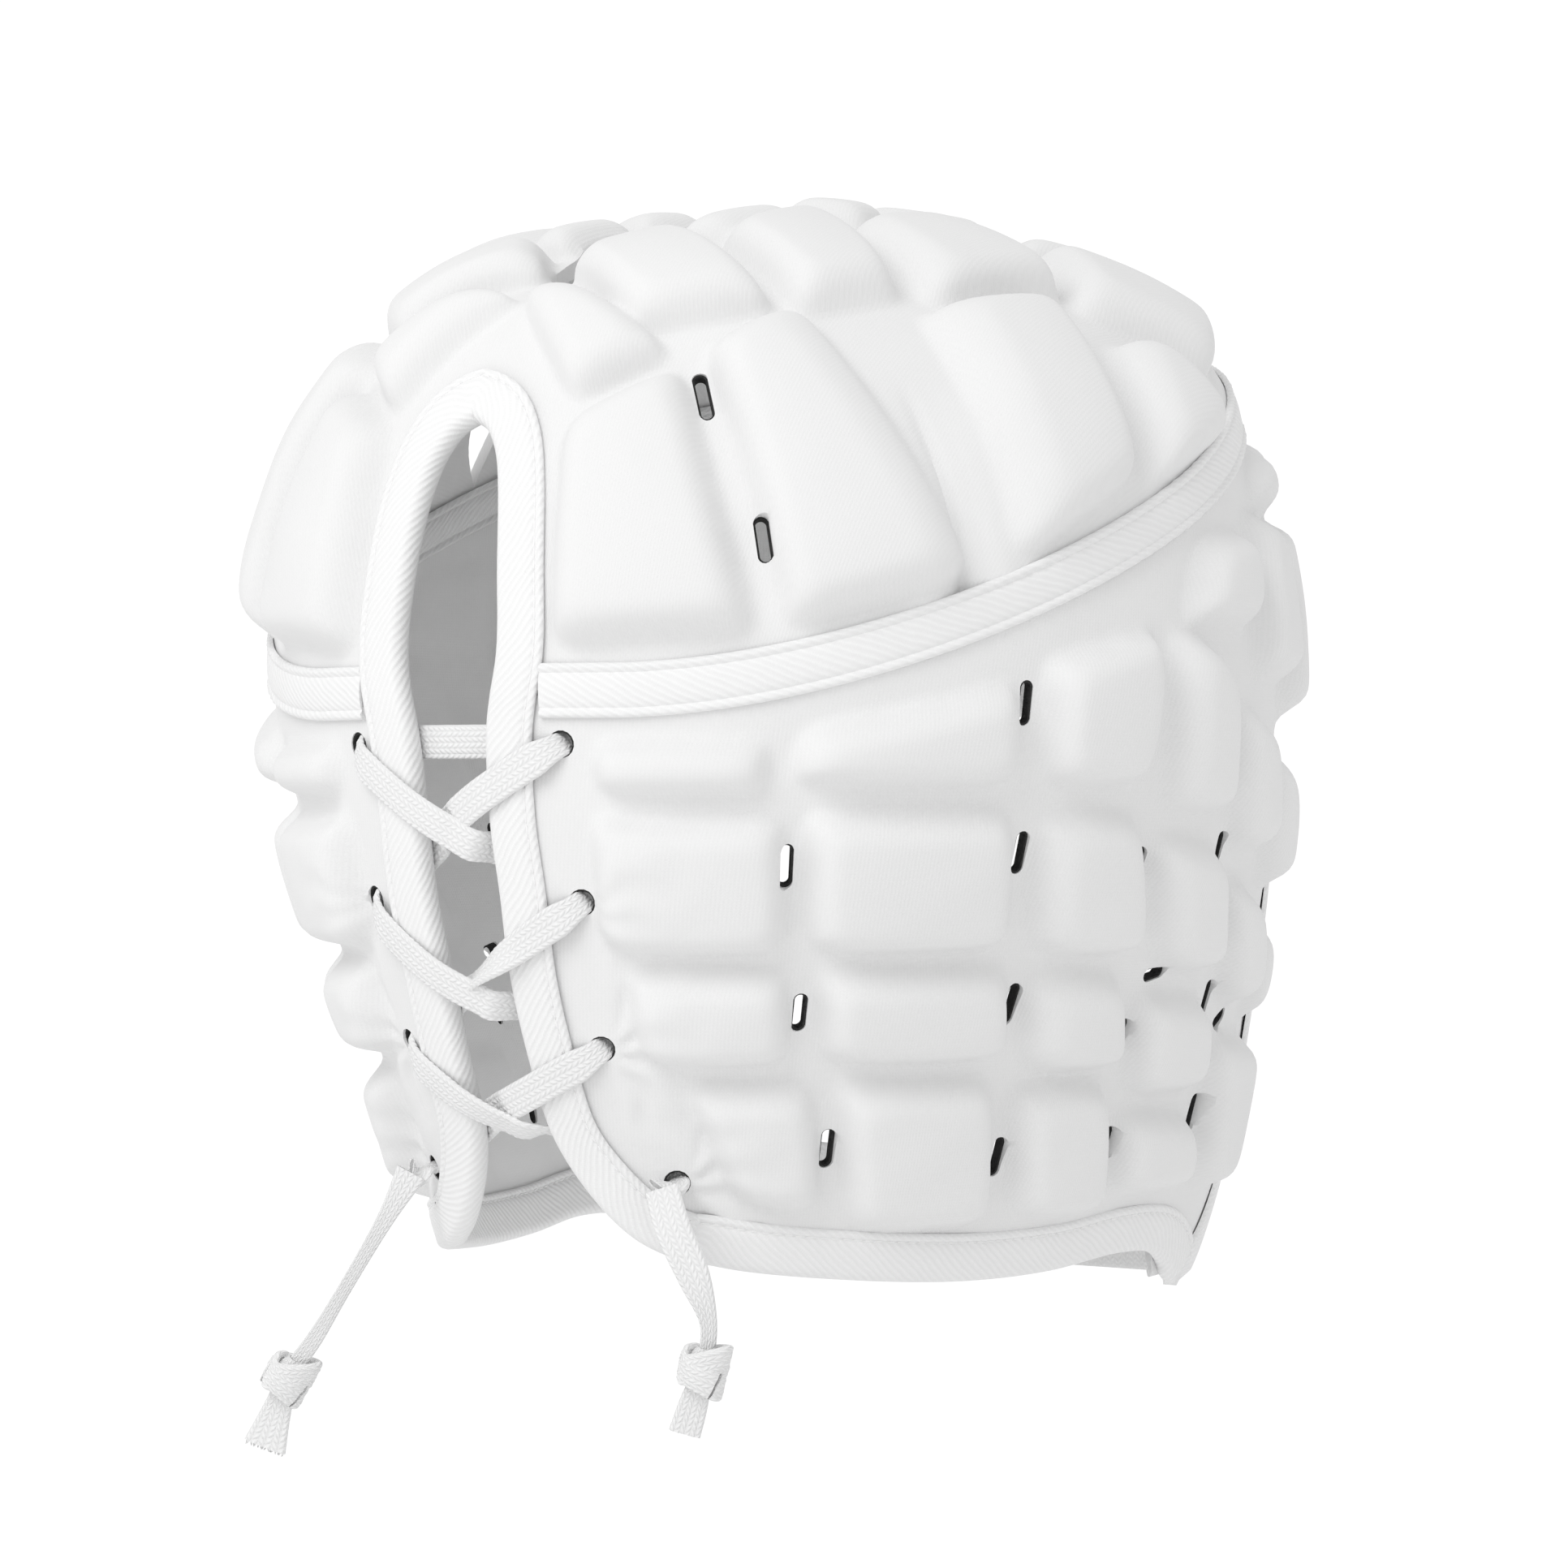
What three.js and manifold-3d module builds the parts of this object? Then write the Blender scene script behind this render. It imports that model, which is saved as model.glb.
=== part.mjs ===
// A padded scrum cap in millimetres. +Z is up, the face opening looks along -Y,
// and the origin is at the top of the head, under the leaf-shaped opening.
import * as THREE from "three";
import Module from "manifold-3d";

const wasm = await Module();
wasm.setup();
const { Manifold, Mesh: SolidMesh } = wasm;

// Driving sizes. The web is the flat sheet between the pads, measured on its outer face.
const HEIGHT = 200; // top of the head down to the points of the flaps
const HALF_WIDTH = 93;
const BACK_REACH = 105; // from the middle line to the back
const FRONT_REACH = 103.5; // from the middle line to the forehead
const WEB = 2.6;
const CLEARANCE = 0.4;
const LEG_CLEARANCE = 0.6; // under the outer leg of a folded binding
const LEG_FALL = 0.5; // how far the wall bends away over the width of a binding
const INNER_CLEARANCE = 0.9; // inside, where the shells' facets bow towards the trims

const PAD_RISE = 7.5;
const PAD_SHOULDER = 2.6; // how far a pad's top lies inside its foot
const PAD_CORNER = 4.5;
const PAD_CORNER_MOST = 0.4; // share of a pad's side that one corner may take

const OPENING_HALF_WIDTH = 12;
const OPENING_BACK = 71;
const OPENING_FRONT = 0;
const OPENING_DEPTH_BACK = 11; // below the top of the head
const OPENING_RISE_SIDE = 1;
const OPENING_RISE_FRONT = 3;

const SEAM_DEPTH_BACK = 84;
const SEAM_DEPTH_FRONT = 20;
const SEAM_TURN_BACK = 20; // degrees from the middle of the back where the seam starts to climb
const SEAM_TURN_FRONT = 150;
const SEAM_GAP = 0.9; // between the two panels, under the tapes
const FRONT_FLATNESS = 0.12; // how straight the crown falls to its seam at the front
const FLATNESS_STARTS = 50; // degrees from the middle of the back
const FLATNESS_FULL = 120;
const TAPE_WIDTH = 9;
const TAPE_THICKNESS = 1.1;

const BINDING_WIDTH = 7;
const BINDING_THICKNESS = 0.9;
const SLOT_HALF_WIDTH = 13;
const SLOT_ROOM = 0.6; // from the edge to the fold of its binding
const HEM_ROOM = 0.6;
const SLOT_TOP = 34; // depth of the arch below the top of the head
const FLAP_STOP = 9; // bare cloth left at the point of a flap by the hem's binding
const FACE_STOP = 15.3; // and by the face opening's

const SLIT_LENGTH = 8;
const SLIT_WIDTH = 2.8;
const EYELET_RADIUS = 2.4;
const LACE_WIDTH = 6;
const LACE_THICKNESS = 1.2;
const KNOT_LENGTH = 9;
const KNOT_RADIUS = 5.2;
const KNOT_FLATNESS = 0.85;
const KNOT_BORE_WIDTH_ROOM = 1.8; // around the lace in the knot's hole
const KNOT_BORE_DEPTH_ROOM = 2.2;
const STRAP_WIDTH = 22;
const STRAP_THICKNESS = 1.5;

// How far the cuts reach past the cloth.
const CUT_INSIDE = -2.5 * WEB;
const CUT_OUTSIDE = PAD_RISE + 3;
const CUT_BEYOND = 1.3; // a share of the cap's reach
const TRIM_REACH = 4.2;
const TRIM_OVERLAP = 0.05;

const SHELL_TURNS = 40;
const CROWN_STEPS = 6;
const BAND_STEPS = 6;
const CROWN_EASE = 1.35; // crowds the crown's steps towards its seam
const SMOOTHING = 0.2; // how far the joined shells may be simplified

// The web's level sections. level is a share of HEIGHT below the top of the head, width of
// HALF_WIDTH, back of BACK_REACH, front of FRONT_REACH; ears is how far forward the widest
// place lies, a share of FRONT_REACH.
const SECTIONS = [
  { level: 0.0, width: 0.84, back: 0.88, front: 0.76, ears: -0.03 },
  { level: 0.1, width: 0.892, back: 0.933, front: 0.812, ears: -0.03 },
  { level: 0.25, width: 0.968, back: 0.981, front: 0.879, ears: -0.03 },
  { level: 0.4, width: 1.0, back: 1.0, front: 0.908, ears: -0.02 },
  { level: 0.525, width: 0.952, back: 0.976, front: 0.928, ears: 0.05 },
  { level: 0.605, width: 0.903, back: 0.948, front: 0.957, ears: 0.097 },
  { level: 0.68, width: 0.849, back: 0.91, front: 0.986, ears: 0.145 },
  { level: 0.755, width: 0.796, back: 0.862, front: 1.0, ears: 0.193 },
  { level: 0.85, width: 0.742, back: 0.79, front: 0.995, ears: 0.232 },
  { level: 1.0, width: 0.65, back: 0.72, front: 0.918, ears: 0.251 },
];

// Pads of the crown, a row each. top and foot are shares of the way from the opening to the
// seam; the turns are degrees from the middle of the back at the pad's four corners; tilt and
// lean lower the front corner of the top and of the foot. side: 0 both, 1 left, -1 right,
// and 2 a single pad across the middle.
const CROWN_PADS = [
  { side: 0, top: 0.58, foot: 0.92, topRear: 16, topFront: 30, footRear: 15, footFront: 34, tilt: -0.08 },
  { side: 0, top: 0.46, foot: 0.925, topRear: 36, topFront: 50, footRear: 39, footFront: 57, tilt: -0.06 },
  { side: 0, top: 0.46, foot: 0.925, topRear: 68, topFront: 86, footRear: 64, footFront: 79, tilt: 0.05, lean: -0.05 },
  { side: -1, top: 0.64, foot: 0.91, topRear: 90, topFront: 96, footRear: 83, footFront: 100, tilt: 0.03 },
  { side: 1, top: 0.62, foot: 0.91, topRear: 88, topFront: 93, footRear: 83, footFront: 93, tilt: 0.02 },
  { side: -1, top: 0.53, foot: 0.8, topRear: 96, topFront: 122, footRear: 106, footFront: 126, tilt: -0.14, lean: -0.04 },
  { side: 1, top: 0.46, foot: 0.8, topRear: 107, topFront: 122, footRear: 108, footFront: 126, tilt: -0.07, lean: -0.04 },
  { side: 0, top: 0.22, foot: 0.51, topRear: 3, topFront: 16, footRear: 16.5, footFront: 29, lean: -0.07 },
  { side: 0, top: 0.05, foot: 0.37, topRear: 14, topFront: 54, footRear: 27, footFront: 47 },
  { side: 0, top: 0.13, foot: 0.39, topRear: 58, topFront: 93, footRear: 52, footFront: 67, tilt: -0.03 },
  { side: 0, top: 0.02, foot: 0.1, topRear: 60, topFront: 96, footRear: 62, footFront: 92 },
  { side: 0, top: 0.03, foot: 0.16, topRear: 103, topFront: 130, footRear: 98, footFront: 118 },
  { side: 0, top: 0.19, foot: 0.43, topRear: 84, topFront: 114, footRear: 72, footFront: 96, tilt: 0.02, lean: 0.05 },
  { side: 0, top: 0.36, foot: 0.72, topRear: 128, topFront: 147, footRear: 131, footFront: 150 },
  { side: 0, top: 0.1, foot: 0.31, topRear: 128, topFront: 156, footRear: 122, footFront: 150 },
  { side: 2, top: 0.37, foot: 0.71, topRear: 153, topFront: 207, footRear: 155, footFront: 205 },
  { side: 2, top: 0.09, foot: 0.31, topRear: 164, topFront: 196, footRear: 156, footFront: 204 },
];

// Pads of the band, in the same columns, with top and foot as levels.
const BAND_PADS = [
  { side: 0, top: 0.465, foot: 0.505, topRear: 18.5, topFront: 36, footRear: 18.5, footFront: 36 },
  { side: 0, top: 0.455, foot: 0.495, topRear: 40, topFront: 62, footRear: 39, footFront: 62, tilt: -0.04 },
  { side: 0, top: 0.395, foot: 0.495, topRear: 66, topFront: 80, footRear: 66, footFront: 78, tilt: -0.03 },
  { side: 0, top: 0.36, foot: 0.52, topRear: 83, topFront: 92, footRear: 82, footFront: 93, tilt: 0.03 },
  { side: 0, top: 0.42, foot: 0.555, topRear: 94.5, topFront: 104, footRear: 95.5, footFront: 107, tilt: 0.03 },
  { side: 0, top: 0.465, foot: 0.59, topRear: 107, topFront: 116, footRear: 109, footFront: 119, tilt: 0.02 },
  { side: 0, top: 0.283, foot: 0.355, topRear: 90, topFront: 101, footRear: 86, footFront: 100, tilt: -0.01 },
  { side: 0, top: 0.253, foot: 0.4, topRear: 104, topFront: 114, footRear: 102, footFront: 114, tilt: 0.01 },
  { side: 0, top: 0.255, foot: 0.43, topRear: 117, topFront: 127, footRear: 116, footFront: 126 },
  { side: 0, top: 0.207, foot: 0.24, topRear: 111, topFront: 126, footRear: 108, footFront: 126, tilt: -0.028 },
  { side: 0, top: 0.53, foot: 0.64, topRear: 18, topFront: 37.5, footRear: 18.5, footFront: 38 },
  { side: 0, top: 0.525, foot: 0.638, topRear: 40.5, topFront: 61.5, footRear: 41, footFront: 62 },
  { side: 0, top: 0.525, foot: 0.645, topRear: 65, topFront: 77.5, footRear: 66, footFront: 80, tilt: 0.005 },
  { side: 0, top: 0.545, foot: 0.665, topRear: 80.5, topFront: 92, footRear: 83.5, footFront: 95, tilt: 0.015 },
  { side: 0, top: 0.585, foot: 0.7, topRear: 95, topFront: 105, footRear: 98, footFront: 108, tilt: 0.02 },
  { side: 0, top: 0.63, foot: 0.72, topRear: 108, topFront: 115, footRear: 110, footFront: 115, tilt: 0.01 },
  { side: 0, top: 0.662, foot: 0.737, topRear: 21, topFront: 38, footRear: 22, footFront: 38.5 },
  { side: 0, top: 0.66, foot: 0.737, topRear: 42, topFront: 62.5, footRear: 42.5, footFront: 63 },
  { side: 0, top: 0.667, foot: 0.752, topRear: 65.5, topFront: 77.5, footRear: 66, footFront: 79, tilt: 0.005 },
  { side: 0, top: 0.69, foot: 0.78, topRear: 81, topFront: 93, footRear: 81, footFront: 94, tilt: 0.01 },
  { side: 0, top: 0.735, foot: 0.88, topRear: 96.5, topFront: 112, footRear: 99, footFront: 108, tilt: 0.01 },
  { side: 0, top: 0.762, foot: 0.862, topRear: 27, topFront: 40.5, footRear: 31, footFront: 41, lean: 0.012 },
  { side: 0, top: 0.762, foot: 0.89, topRear: 44, topFront: 61.5, footRear: 45, footFront: 62 },
  { side: 0, top: 0.772, foot: 0.888, topRear: 65, topFront: 77, footRear: 66, footFront: 78 },
  { side: 0, top: 0.802, foot: 0.875, topRear: 80, topFront: 93, footRear: 80, footFront: 95, tilt: 0.01 },
  { side: 0, top: 0.17, foot: 0.24, topRear: 129, topFront: 145, footRear: 129, footFront: 145 },
  { side: 0, top: 0.275, foot: 0.375, topRear: 131, topFront: 147, footRear: 133, footFront: 148 },
  { side: 0, top: 0.15, foot: 0.24, topRear: 148, topFront: 164, footRear: 148, footFront: 164 },
  { side: 0, top: 0.275, foot: 0.375, topRear: 150, topFront: 165, footRear: 151, footFront: 166 },
  { side: 2, top: 0.15, foot: 0.24, topRear: 167, topFront: 193, footRear: 167, footFront: 193 },
  { side: 2, top: 0.275, foot: 0.375, topRear: 168.5, topFront: 191.5, footRear: 169, footFront: 191 },
];

// Slits between the pads. place is a share on the crown and a level on the band; swing turns
// the slit from upright, in degrees.
const CROWN_SLITS = [
  { turn: 33, place: 0.54, length: 1.2, swing: -12 },
  { turn: 36.6, place: 0.8, length: 1.05, swing: -8 },
];
const BAND_SLITS = [
  { turn: 38.3, place: 0.57, length: 1, swing: 0 },
  { turn: 40, place: 0.698, length: 0.9, swing: 0 },
  { turn: 42.4, place: 0.82, length: 0.95, swing: 0 },
  { turn: 63.5, place: 0.43, length: 1, swing: 0 },
  { turn: 63.6, place: 0.56, length: 1, swing: 0 },
  { turn: 64.2, place: 0.695, length: 1, swing: 4 },
  { turn: 63.4, place: 0.835, length: 0.95, swing: 4 },
  { turn: 79.3, place: 0.575, length: 1, swing: 0 },
  { turn: 79.6, place: 0.73, length: 0.9, swing: 6 },
  { turn: 79, place: 0.83, length: 0.85, swing: 6 },
  { turn: 94, place: 0.56, length: 0.9, swing: 0 },
  { turn: 95.5, place: 0.705, length: 1.2, swing: 0 },
  { turn: 95.8, place: 0.815, length: 1.3, swing: 4 },
  { turn: 84, place: 0.673, length: 0.75, swing: 78 },
  { turn: 101, place: 0.722, length: 0.75, swing: 58 },
];
// The open dart in the crown on the left.
const DART = { turn: 97, top: 0.5, foot: 0.93, width: 10 };

// Edge of the slot from the arch down to the corner of the hem: across is a share of
// SLOT_HALF_WIDTH, drop a share of the way from the arch to HEIGHT.
const SLOT_EDGE = [
  { across: 0, drop: 0 },
  { across: 0.36, drop: 0.015 },
  { across: 0.63, drop: 0.045 },
  { across: 0.8, drop: 0.09 },
  { across: 0.94, drop: 0.175 },
  { across: 1.0, drop: 0.26 },
  { across: 0.82, drop: 0.344 },
  { across: 0.76, drop: 0.43 },
  { across: 0.78, drop: 0.512 },
  { across: 0.73, drop: 0.6 },
  { across: 0.75, drop: 0.68 },
  { across: 0.82, drop: 0.77 },
  { across: 1.12, drop: 0.825 },
  { across: 1.6, drop: 0.872 },
  { across: 2.155, drop: 0.898 },
];
// Edge of the hem and of the face opening, seen from the side: back is a share of BACK_REACH
// behind the middle line, level as above. The hem ends at the point of the flap.
const HEM_EDGE = [
  { back: 0.668, level: 0.911 },
  { back: 0.6, level: 0.921 },
  { back: 0.45, level: 0.932 },
  { back: 0.25, level: 0.94 },
  { back: 0.05, level: 0.939 },
  { back: -0.14, level: 0.93 },
  { back: -0.27, level: 0.934 },
  { back: -0.36, level: 0.952 },
  { back: -0.44, level: 0.985 },
];
const FACE_EDGE = [
  { back: -0.44, level: 0.985 },
  { back: -0.52, level: 0.95 },
  { back: -0.575, level: 0.9 },
  { back: -0.6, level: 0.83 },
  { back: -0.595, level: 0.75 },
  { back: -0.58, level: 0.67 },
  { back: -0.585, level: 0.6 },
  { back: -0.62, level: 0.53 },
  { back: -0.7, level: 0.465 },
  { back: -0.79, level: 0.43 },
  { back: -0.86, level: 0.418 },
];

// Eyelets from the top pair down: turn in degrees and level.
const EYELETS = [
  { turn: 14.4, level: 0.466 },
  { turn: 16, level: 0.602 },
  { turn: 16.6, level: 0.73 },
  { turn: 23.6, level: 0.85 },
];
// Crossings of the lace. It leaves an eyelet outside, crosses the slot and reaches the other
// eyelet inside. over says which strand of a crossing pair lies outermost.
const CROSSINGS = [
  { fromSide: 1, from: 0, to: 1, over: 1 },
  { fromSide: -1, from: 0, to: 1, over: -1 },
  { fromSide: -1, from: 1, to: 2, over: -1 },
  { fromSide: 1, from: 1, to: 2, over: 1 },
  { fromSide: 1, from: 2, to: 3, over: 1 },
  { fromSide: -1, from: 2, to: 3, over: -1 },
];
// The free ends of the lace, chosen by hand: points and where the knot sits along each.
const TAILS = {
  left: {
    points: [
      [28.3, 79.6, -170.5],
      [32, 82, -178.5],
      [40, 84.5, -192],
      [46, 85.5, -201],
      [52, 86, -208.5],
      [55, 86, -215],
      [58, 86, -222],
    ],
    knot: 4,
    across: [0.8, 0.35, -0.35],
  },
  right: {
    points: [
      [-28.5, 79.6, -170.5],
      [-31.5, 80.5, -177],
      [-35, 79, -185.5],
      [-36.3, 76.5, -194],
      [-34.5, 75.5, -201.5],
      [-32, 75, -208],
      [-30, 75, -213.5],
    ],
    knot: 4,
    across: [-0.85, -0.5, 0],
  },
};
// The chin strap's free stretch from a flap to the middle: side and forward are shares of
// HALF_WIDTH and FRONT_REACH, level as above.
const STRAP_TURNS = [99, 106, 113];
const STRAP_LEVEL = 0.925;
const STRAP_ROUTE = [
  { side: 0.46, forward: 0.72, level: 0.935 },
  { side: 0.27, forward: 0.87, level: 0.945 },
  { side: 0, forward: 0.94, level: 0.95 },
];

const white = (name, color, roughness) =>
  new THREE.MeshStandardMaterial({ name, color, roughness, metalness: 0 });
const JERSEY = white("jersey", 0xf0f0ef, 0.86);
const TWILL = white("twill", 0xf3f3f2, 0.8);
const LACE_YARN = white("lace_yarn", 0xf4f4f3, 0.78);
const WEBBING = white("webbing", 0xefefee, 0.84);

const radians = THREE.MathUtils.degToRad;
const vector = (x, y, z) => new THREE.Vector3(x, y, z);

// A smooth curve through the rows of a table, read at key = value.
function read(table, key, value, column) {
  let i = 0;
  while (i < table.length - 2 && value > table[i + 1][key]) i++;
  const a = table[i];
  const b = table[i + 1];
  const before = table[Math.max(i - 1, 0)];
  const after = table[Math.min(i + 2, table.length - 1)];
  const span = b[key] - a[key];
  const t = (value - a[key]) / span;
  const slopeA = ((b[column] - before[column]) / (b[key] - before[key])) * span;
  const slopeB = ((after[column] - a[column]) / (after[key] - a[key])) * span;
  const t2 = t * t;
  const t3 = t2 * t;
  return (
    (2 * t3 - 3 * t2 + 1) * a[column] +
    (t3 - 2 * t2 + t) * slopeA +
    (3 * t2 - 2 * t3) * b[column] +
    (t3 - t2) * slopeB
  );
}

function sectionAt(level) {
  return {
    width: HALF_WIDTH * read(SECTIONS, "level", level, "width"),
    back: BACK_REACH * read(SECTIONS, "level", level, "back"),
    front: FRONT_REACH * read(SECTIONS, "level", level, "front"),
    ears: -FRONT_REACH * read(SECTIONS, "level", level, "ears"),
  };
}

// The web's outer face below the seam, at a turn in degrees from the back and a level.
function bandPoint(turn, level) {
  const s = sectionAt(level);
  const c = Math.cos(radians(turn));
  const reach = c > 0 ? s.back - s.ears : s.front + s.ears;
  return vector(s.width * Math.sin(radians(turn)), s.ears + reach * c, -HEIGHT * level);
}

function seamLevel(turn) {
  const away = Math.abs(((turn + 540) % 360) - 180);
  const climb = THREE.MathUtils.smoothstep(away, SEAM_TURN_BACK, SEAM_TURN_FRONT);
  return (SEAM_DEPTH_BACK + (SEAM_DEPTH_FRONT - SEAM_DEPTH_BACK) * climb) / HEIGHT;
}

function openingPoint(turn) {
  const c = Math.cos(radians(turn));
  const middle = (OPENING_BACK + OPENING_FRONT) / 2;
  const reach = (OPENING_BACK - OPENING_FRONT) / 2;
  const slope = (-OPENING_DEPTH_BACK - OPENING_RISE_FRONT) / 2;
  const sag = (OPENING_RISE_FRONT - OPENING_DEPTH_BACK) / 2 - OPENING_RISE_SIDE;
  return vector(
    OPENING_HALF_WIDTH * Math.sin(radians(turn)),
    middle + reach * c,
    OPENING_RISE_SIDE + slope * c + sag * c * c,
  );
}

// The web's outer face above the seam: share 0 is the opening's rim and 1 the seam.
function crownPoint(turn, share) {
  const rim = openingPoint(turn);
  const seam = bandPoint(turn, seamLevel(turn));
  const away = Math.abs(((turn + 540) % 360) - 180);
  const flat = FRONT_FLATNESS * THREE.MathUtils.smoothstep(away, FLATNESS_STARTS, FLATNESS_FULL);
  const angle = (share * Math.PI) / 2;
  const p = rim.clone().lerp(seam, Math.sin(angle) * (1 - flat) + share * flat);
  p.z = seam.z + (rim.z - seam.z) * (Math.cos(angle) * (1 - flat) + (1 - share) * flat);
  return p;
}

function normalAt(surface, turn, place) {
  const across = surface(turn + 0.5, place).sub(surface(turn - 0.5, place));
  const down = surface(turn, place + 0.004).sub(surface(turn, place - 0.004));
  const n = across.cross(down).normalize();
  const out = surface(turn, place).sub(vector(0, 0, -HEIGHT * 0.4));
  return n.dot(out) < 0 ? n.negate() : n;
}

function lifted(surface, turn, place, lift) {
  return surface(turn, place).addScaledVector(normalAt(surface, turn, place), lift);
}

function solidOf(points, triangles) {
  const build = (faces) =>
    new Manifold(
      new SolidMesh({
        numProp: 3,
        vertProperties: new Float32Array(points.flatMap((p) => [p.x, p.y, p.z])),
        triVerts: new Uint32Array(faces.flat()),
      }),
    );
  const solid = build(triangles);
  return solid.volume() > 0 ? solid : build(triangles.map(([a, b, c]) => [a, c, b]));
}

// Joins rings of equal length into one solid. A closed row of rings needs no caps; else
// caps lists the triangles that close the first and the last ring.
function loft(rings, caps) {
  const size = rings[0].length;
  const triangles = [];
  const last = caps ? rings.length - 1 : rings.length;
  for (let i = 0; i < last; i++) {
    const next = (i + 1) % rings.length;
    for (let j = 0; j < size; j++) {
      const k = (j + 1) % size;
      triangles.push([i * size + j, next * size + j, next * size + k]);
      triangles.push([i * size + j, next * size + k, i * size + k]);
    }
  }
  if (caps) {
    const end = (rings.length - 1) * size;
    caps.forEach(([a, b, c]) => triangles.push([a, b, c], [end + a, end + c, end + b]));
  }
  return solidOf(rings.flat(), triangles);
}

const fan = (count) => Array.from({ length: count - 2 }, (_, i) => [0, i + 1, i + 2]);

// A wall all the way round: top and foot give the places between which it runs at a turn.
// An ease above 1 crowds its steps towards the foot.
function wall(surface, turns, steps, top, foot, ease) {
  const rings = [];
  for (let i = 0; i < turns; i++) {
    const turn = (i * 360) / turns;
    const places = Array.from({ length: steps + 1 }, (_, j) => {
      const share = 1 - Math.pow(1 - j / steps, ease);
      return top(turn) + (foot(turn) - top(turn)) * share;
    });
    const outer = places.map((place) => surface(turn, place));
    const inner = places.map((place) => lifted(surface, turn, place, -WEB));
    rings.push([...outer, ...inner.reverse()]);
  }
  return loft(rings);
}

// The corners of a pad as turn and place, then its outline with the corners taken off.
function padOutline(surface, pad, side) {
  const sign = side === 2 ? 1 : side;
  const corners = [
    [pad.topRear * sign, pad.top],
    [pad.topFront * sign, pad.top + (pad.tilt ?? 0)],
    [pad.footFront * sign, pad.foot + (pad.lean ?? 0)],
    [pad.footRear * sign, pad.foot],
  ];
  return corners.flatMap((corner, i) => {
    const here = surface(...corner);
    return [corners[(i + 3) % 4], corners[(i + 1) % 4]].map((other) => {
      const share = Math.min(PAD_CORNER / here.distanceTo(surface(...other)), PAD_CORNER_MOST);
      return corner.map((value, k) => value + (other[k] - value) * share);
    });
  });
}

function padSolid(surface, pad, side) {
  const outline = padOutline(surface, pad, side);
  const foot = outline.map(([turn, place]) => lifted(surface, turn, place, -WEB / 2));
  const top = outline.map(([turn, place]) => lifted(surface, turn, place, PAD_RISE));
  const middle = top.reduce((sum, p) => sum.add(p), vector(0, 0, 0)).divideScalar(top.length);
  top.forEach((p) => p.lerp(middle, PAD_SHOULDER / p.distanceTo(middle)));
  return loft([foot, top], fan(outline.length));
}

function padSolids(surface, pads) {
  return pads.flatMap((pad) => {
    const sides = pad.side === 0 ? [1, -1] : [pad.side];
    return sides.map((side) => padSolid(surface, pad, side));
  });
}

// A cut through wall and pads along the surface's normal, with an outline in millimetres.
function cutThrough(surface, turn, place, outline, swing) {
  const at = surface(turn, place);
  const out = normalAt(surface, turn, place);
  const up = vector(0, 0, 1).addScaledVector(out, -out.z).normalize();
  up.applyAxisAngle(out, radians(swing));
  const across = up.clone().cross(out);
  const ring = (lift) =>
    outline.map(([x, y]) =>
      at.clone().addScaledVector(across, x).addScaledVector(up, y).addScaledVector(out, lift),
    );
  return loft([ring(CUT_INSIDE), ring(CUT_OUTSIDE)], fan(outline.length));
}

function slitOutline(length, width) {
  const half = length / 2;
  const shoulder = half - width / 2;
  return [
    [width / 2, -shoulder],
    [width / 2, shoulder],
    [0, half],
    [-width / 2, shoulder],
    [-width / 2, -shoulder],
    [0, -half],
  ];
}

function slitCuts(surface, slits) {
  return slits.flatMap((slit) =>
    [1, -1].map((side) => {
      const outline = slitOutline(SLIT_LENGTH * slit.length, SLIT_WIDTH);
      return cutThrough(surface, slit.turn * side, slit.place, outline, slit.swing * side);
    }),
  );
}

function roundOutline(radius, sides) {
  return Array.from({ length: sides }, (_, i) => {
    const angle = (2 * Math.PI * (i + 0.5)) / sides;
    return [radius * Math.cos(angle), radius * Math.sin(angle)];
  });
}

function eyeletCuts() {
  return EYELETS.flatMap((eyelet) =>
    [1, -1].map((side) =>
      cutThrough(bandPoint, eyelet.turn * side, eyelet.level, roundOutline(EYELET_RADIUS, 8), 0),
    ),
  );
}

// A leaf-shaped hole from top to foot, widest a little below its middle.
function dartCut() {
  const places = [0.12, 0.35, 0.6, 0.85];
  const at = (share) => DART.top + (DART.foot - DART.top) * share;
  const width = (share) => (DART.width / 2) * Math.sin(Math.PI * Math.pow(share, 0.8));
  const point = (share, side, lift) => {
    const p = lifted(crownPoint, DART.turn, at(share), lift);
    const ahead = crownPoint(DART.turn + 1, at(share)).sub(crownPoint(DART.turn, at(share)));
    return p.addScaledVector(ahead.normalize(), side * width(share));
  };
  const ring = (lift) => [
    point(0, 0, lift),
    ...places.map((share) => point(share, 1, lift)),
    point(1, 0, lift),
    ...places.toReversed().map((share) => point(share, -1, lift)),
  ];
  return loft([ring(CUT_INSIDE), ring(CUT_OUTSIDE)], fan(places.length * 2 + 2));
}

// The slot's half outline as x and depth, smooth through the rows of SLOT_EDGE.
function slotEdge(count) {
  const rows = SLOT_EDGE.map((row) => [
    SLOT_HALF_WIDTH * row.across,
    SLOT_TOP + (HEIGHT - SLOT_TOP) * row.drop,
  ]);
  return smoothRows(rows, count);
}

function sideEdge(rows, count) {
  return smoothRows(
    rows.map((row) => [BACK_REACH * row.back, HEIGHT * row.level]),
    count,
  );
}

function smoothRows(rows, count) {
  const curve = new THREE.CatmullRomCurve3(rows.map(([a, b]) => vector(a, b, 0)), false, "centripetal");
  return curve.getPoints(count).map((p) => [p.x, p.y]);
}

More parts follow.
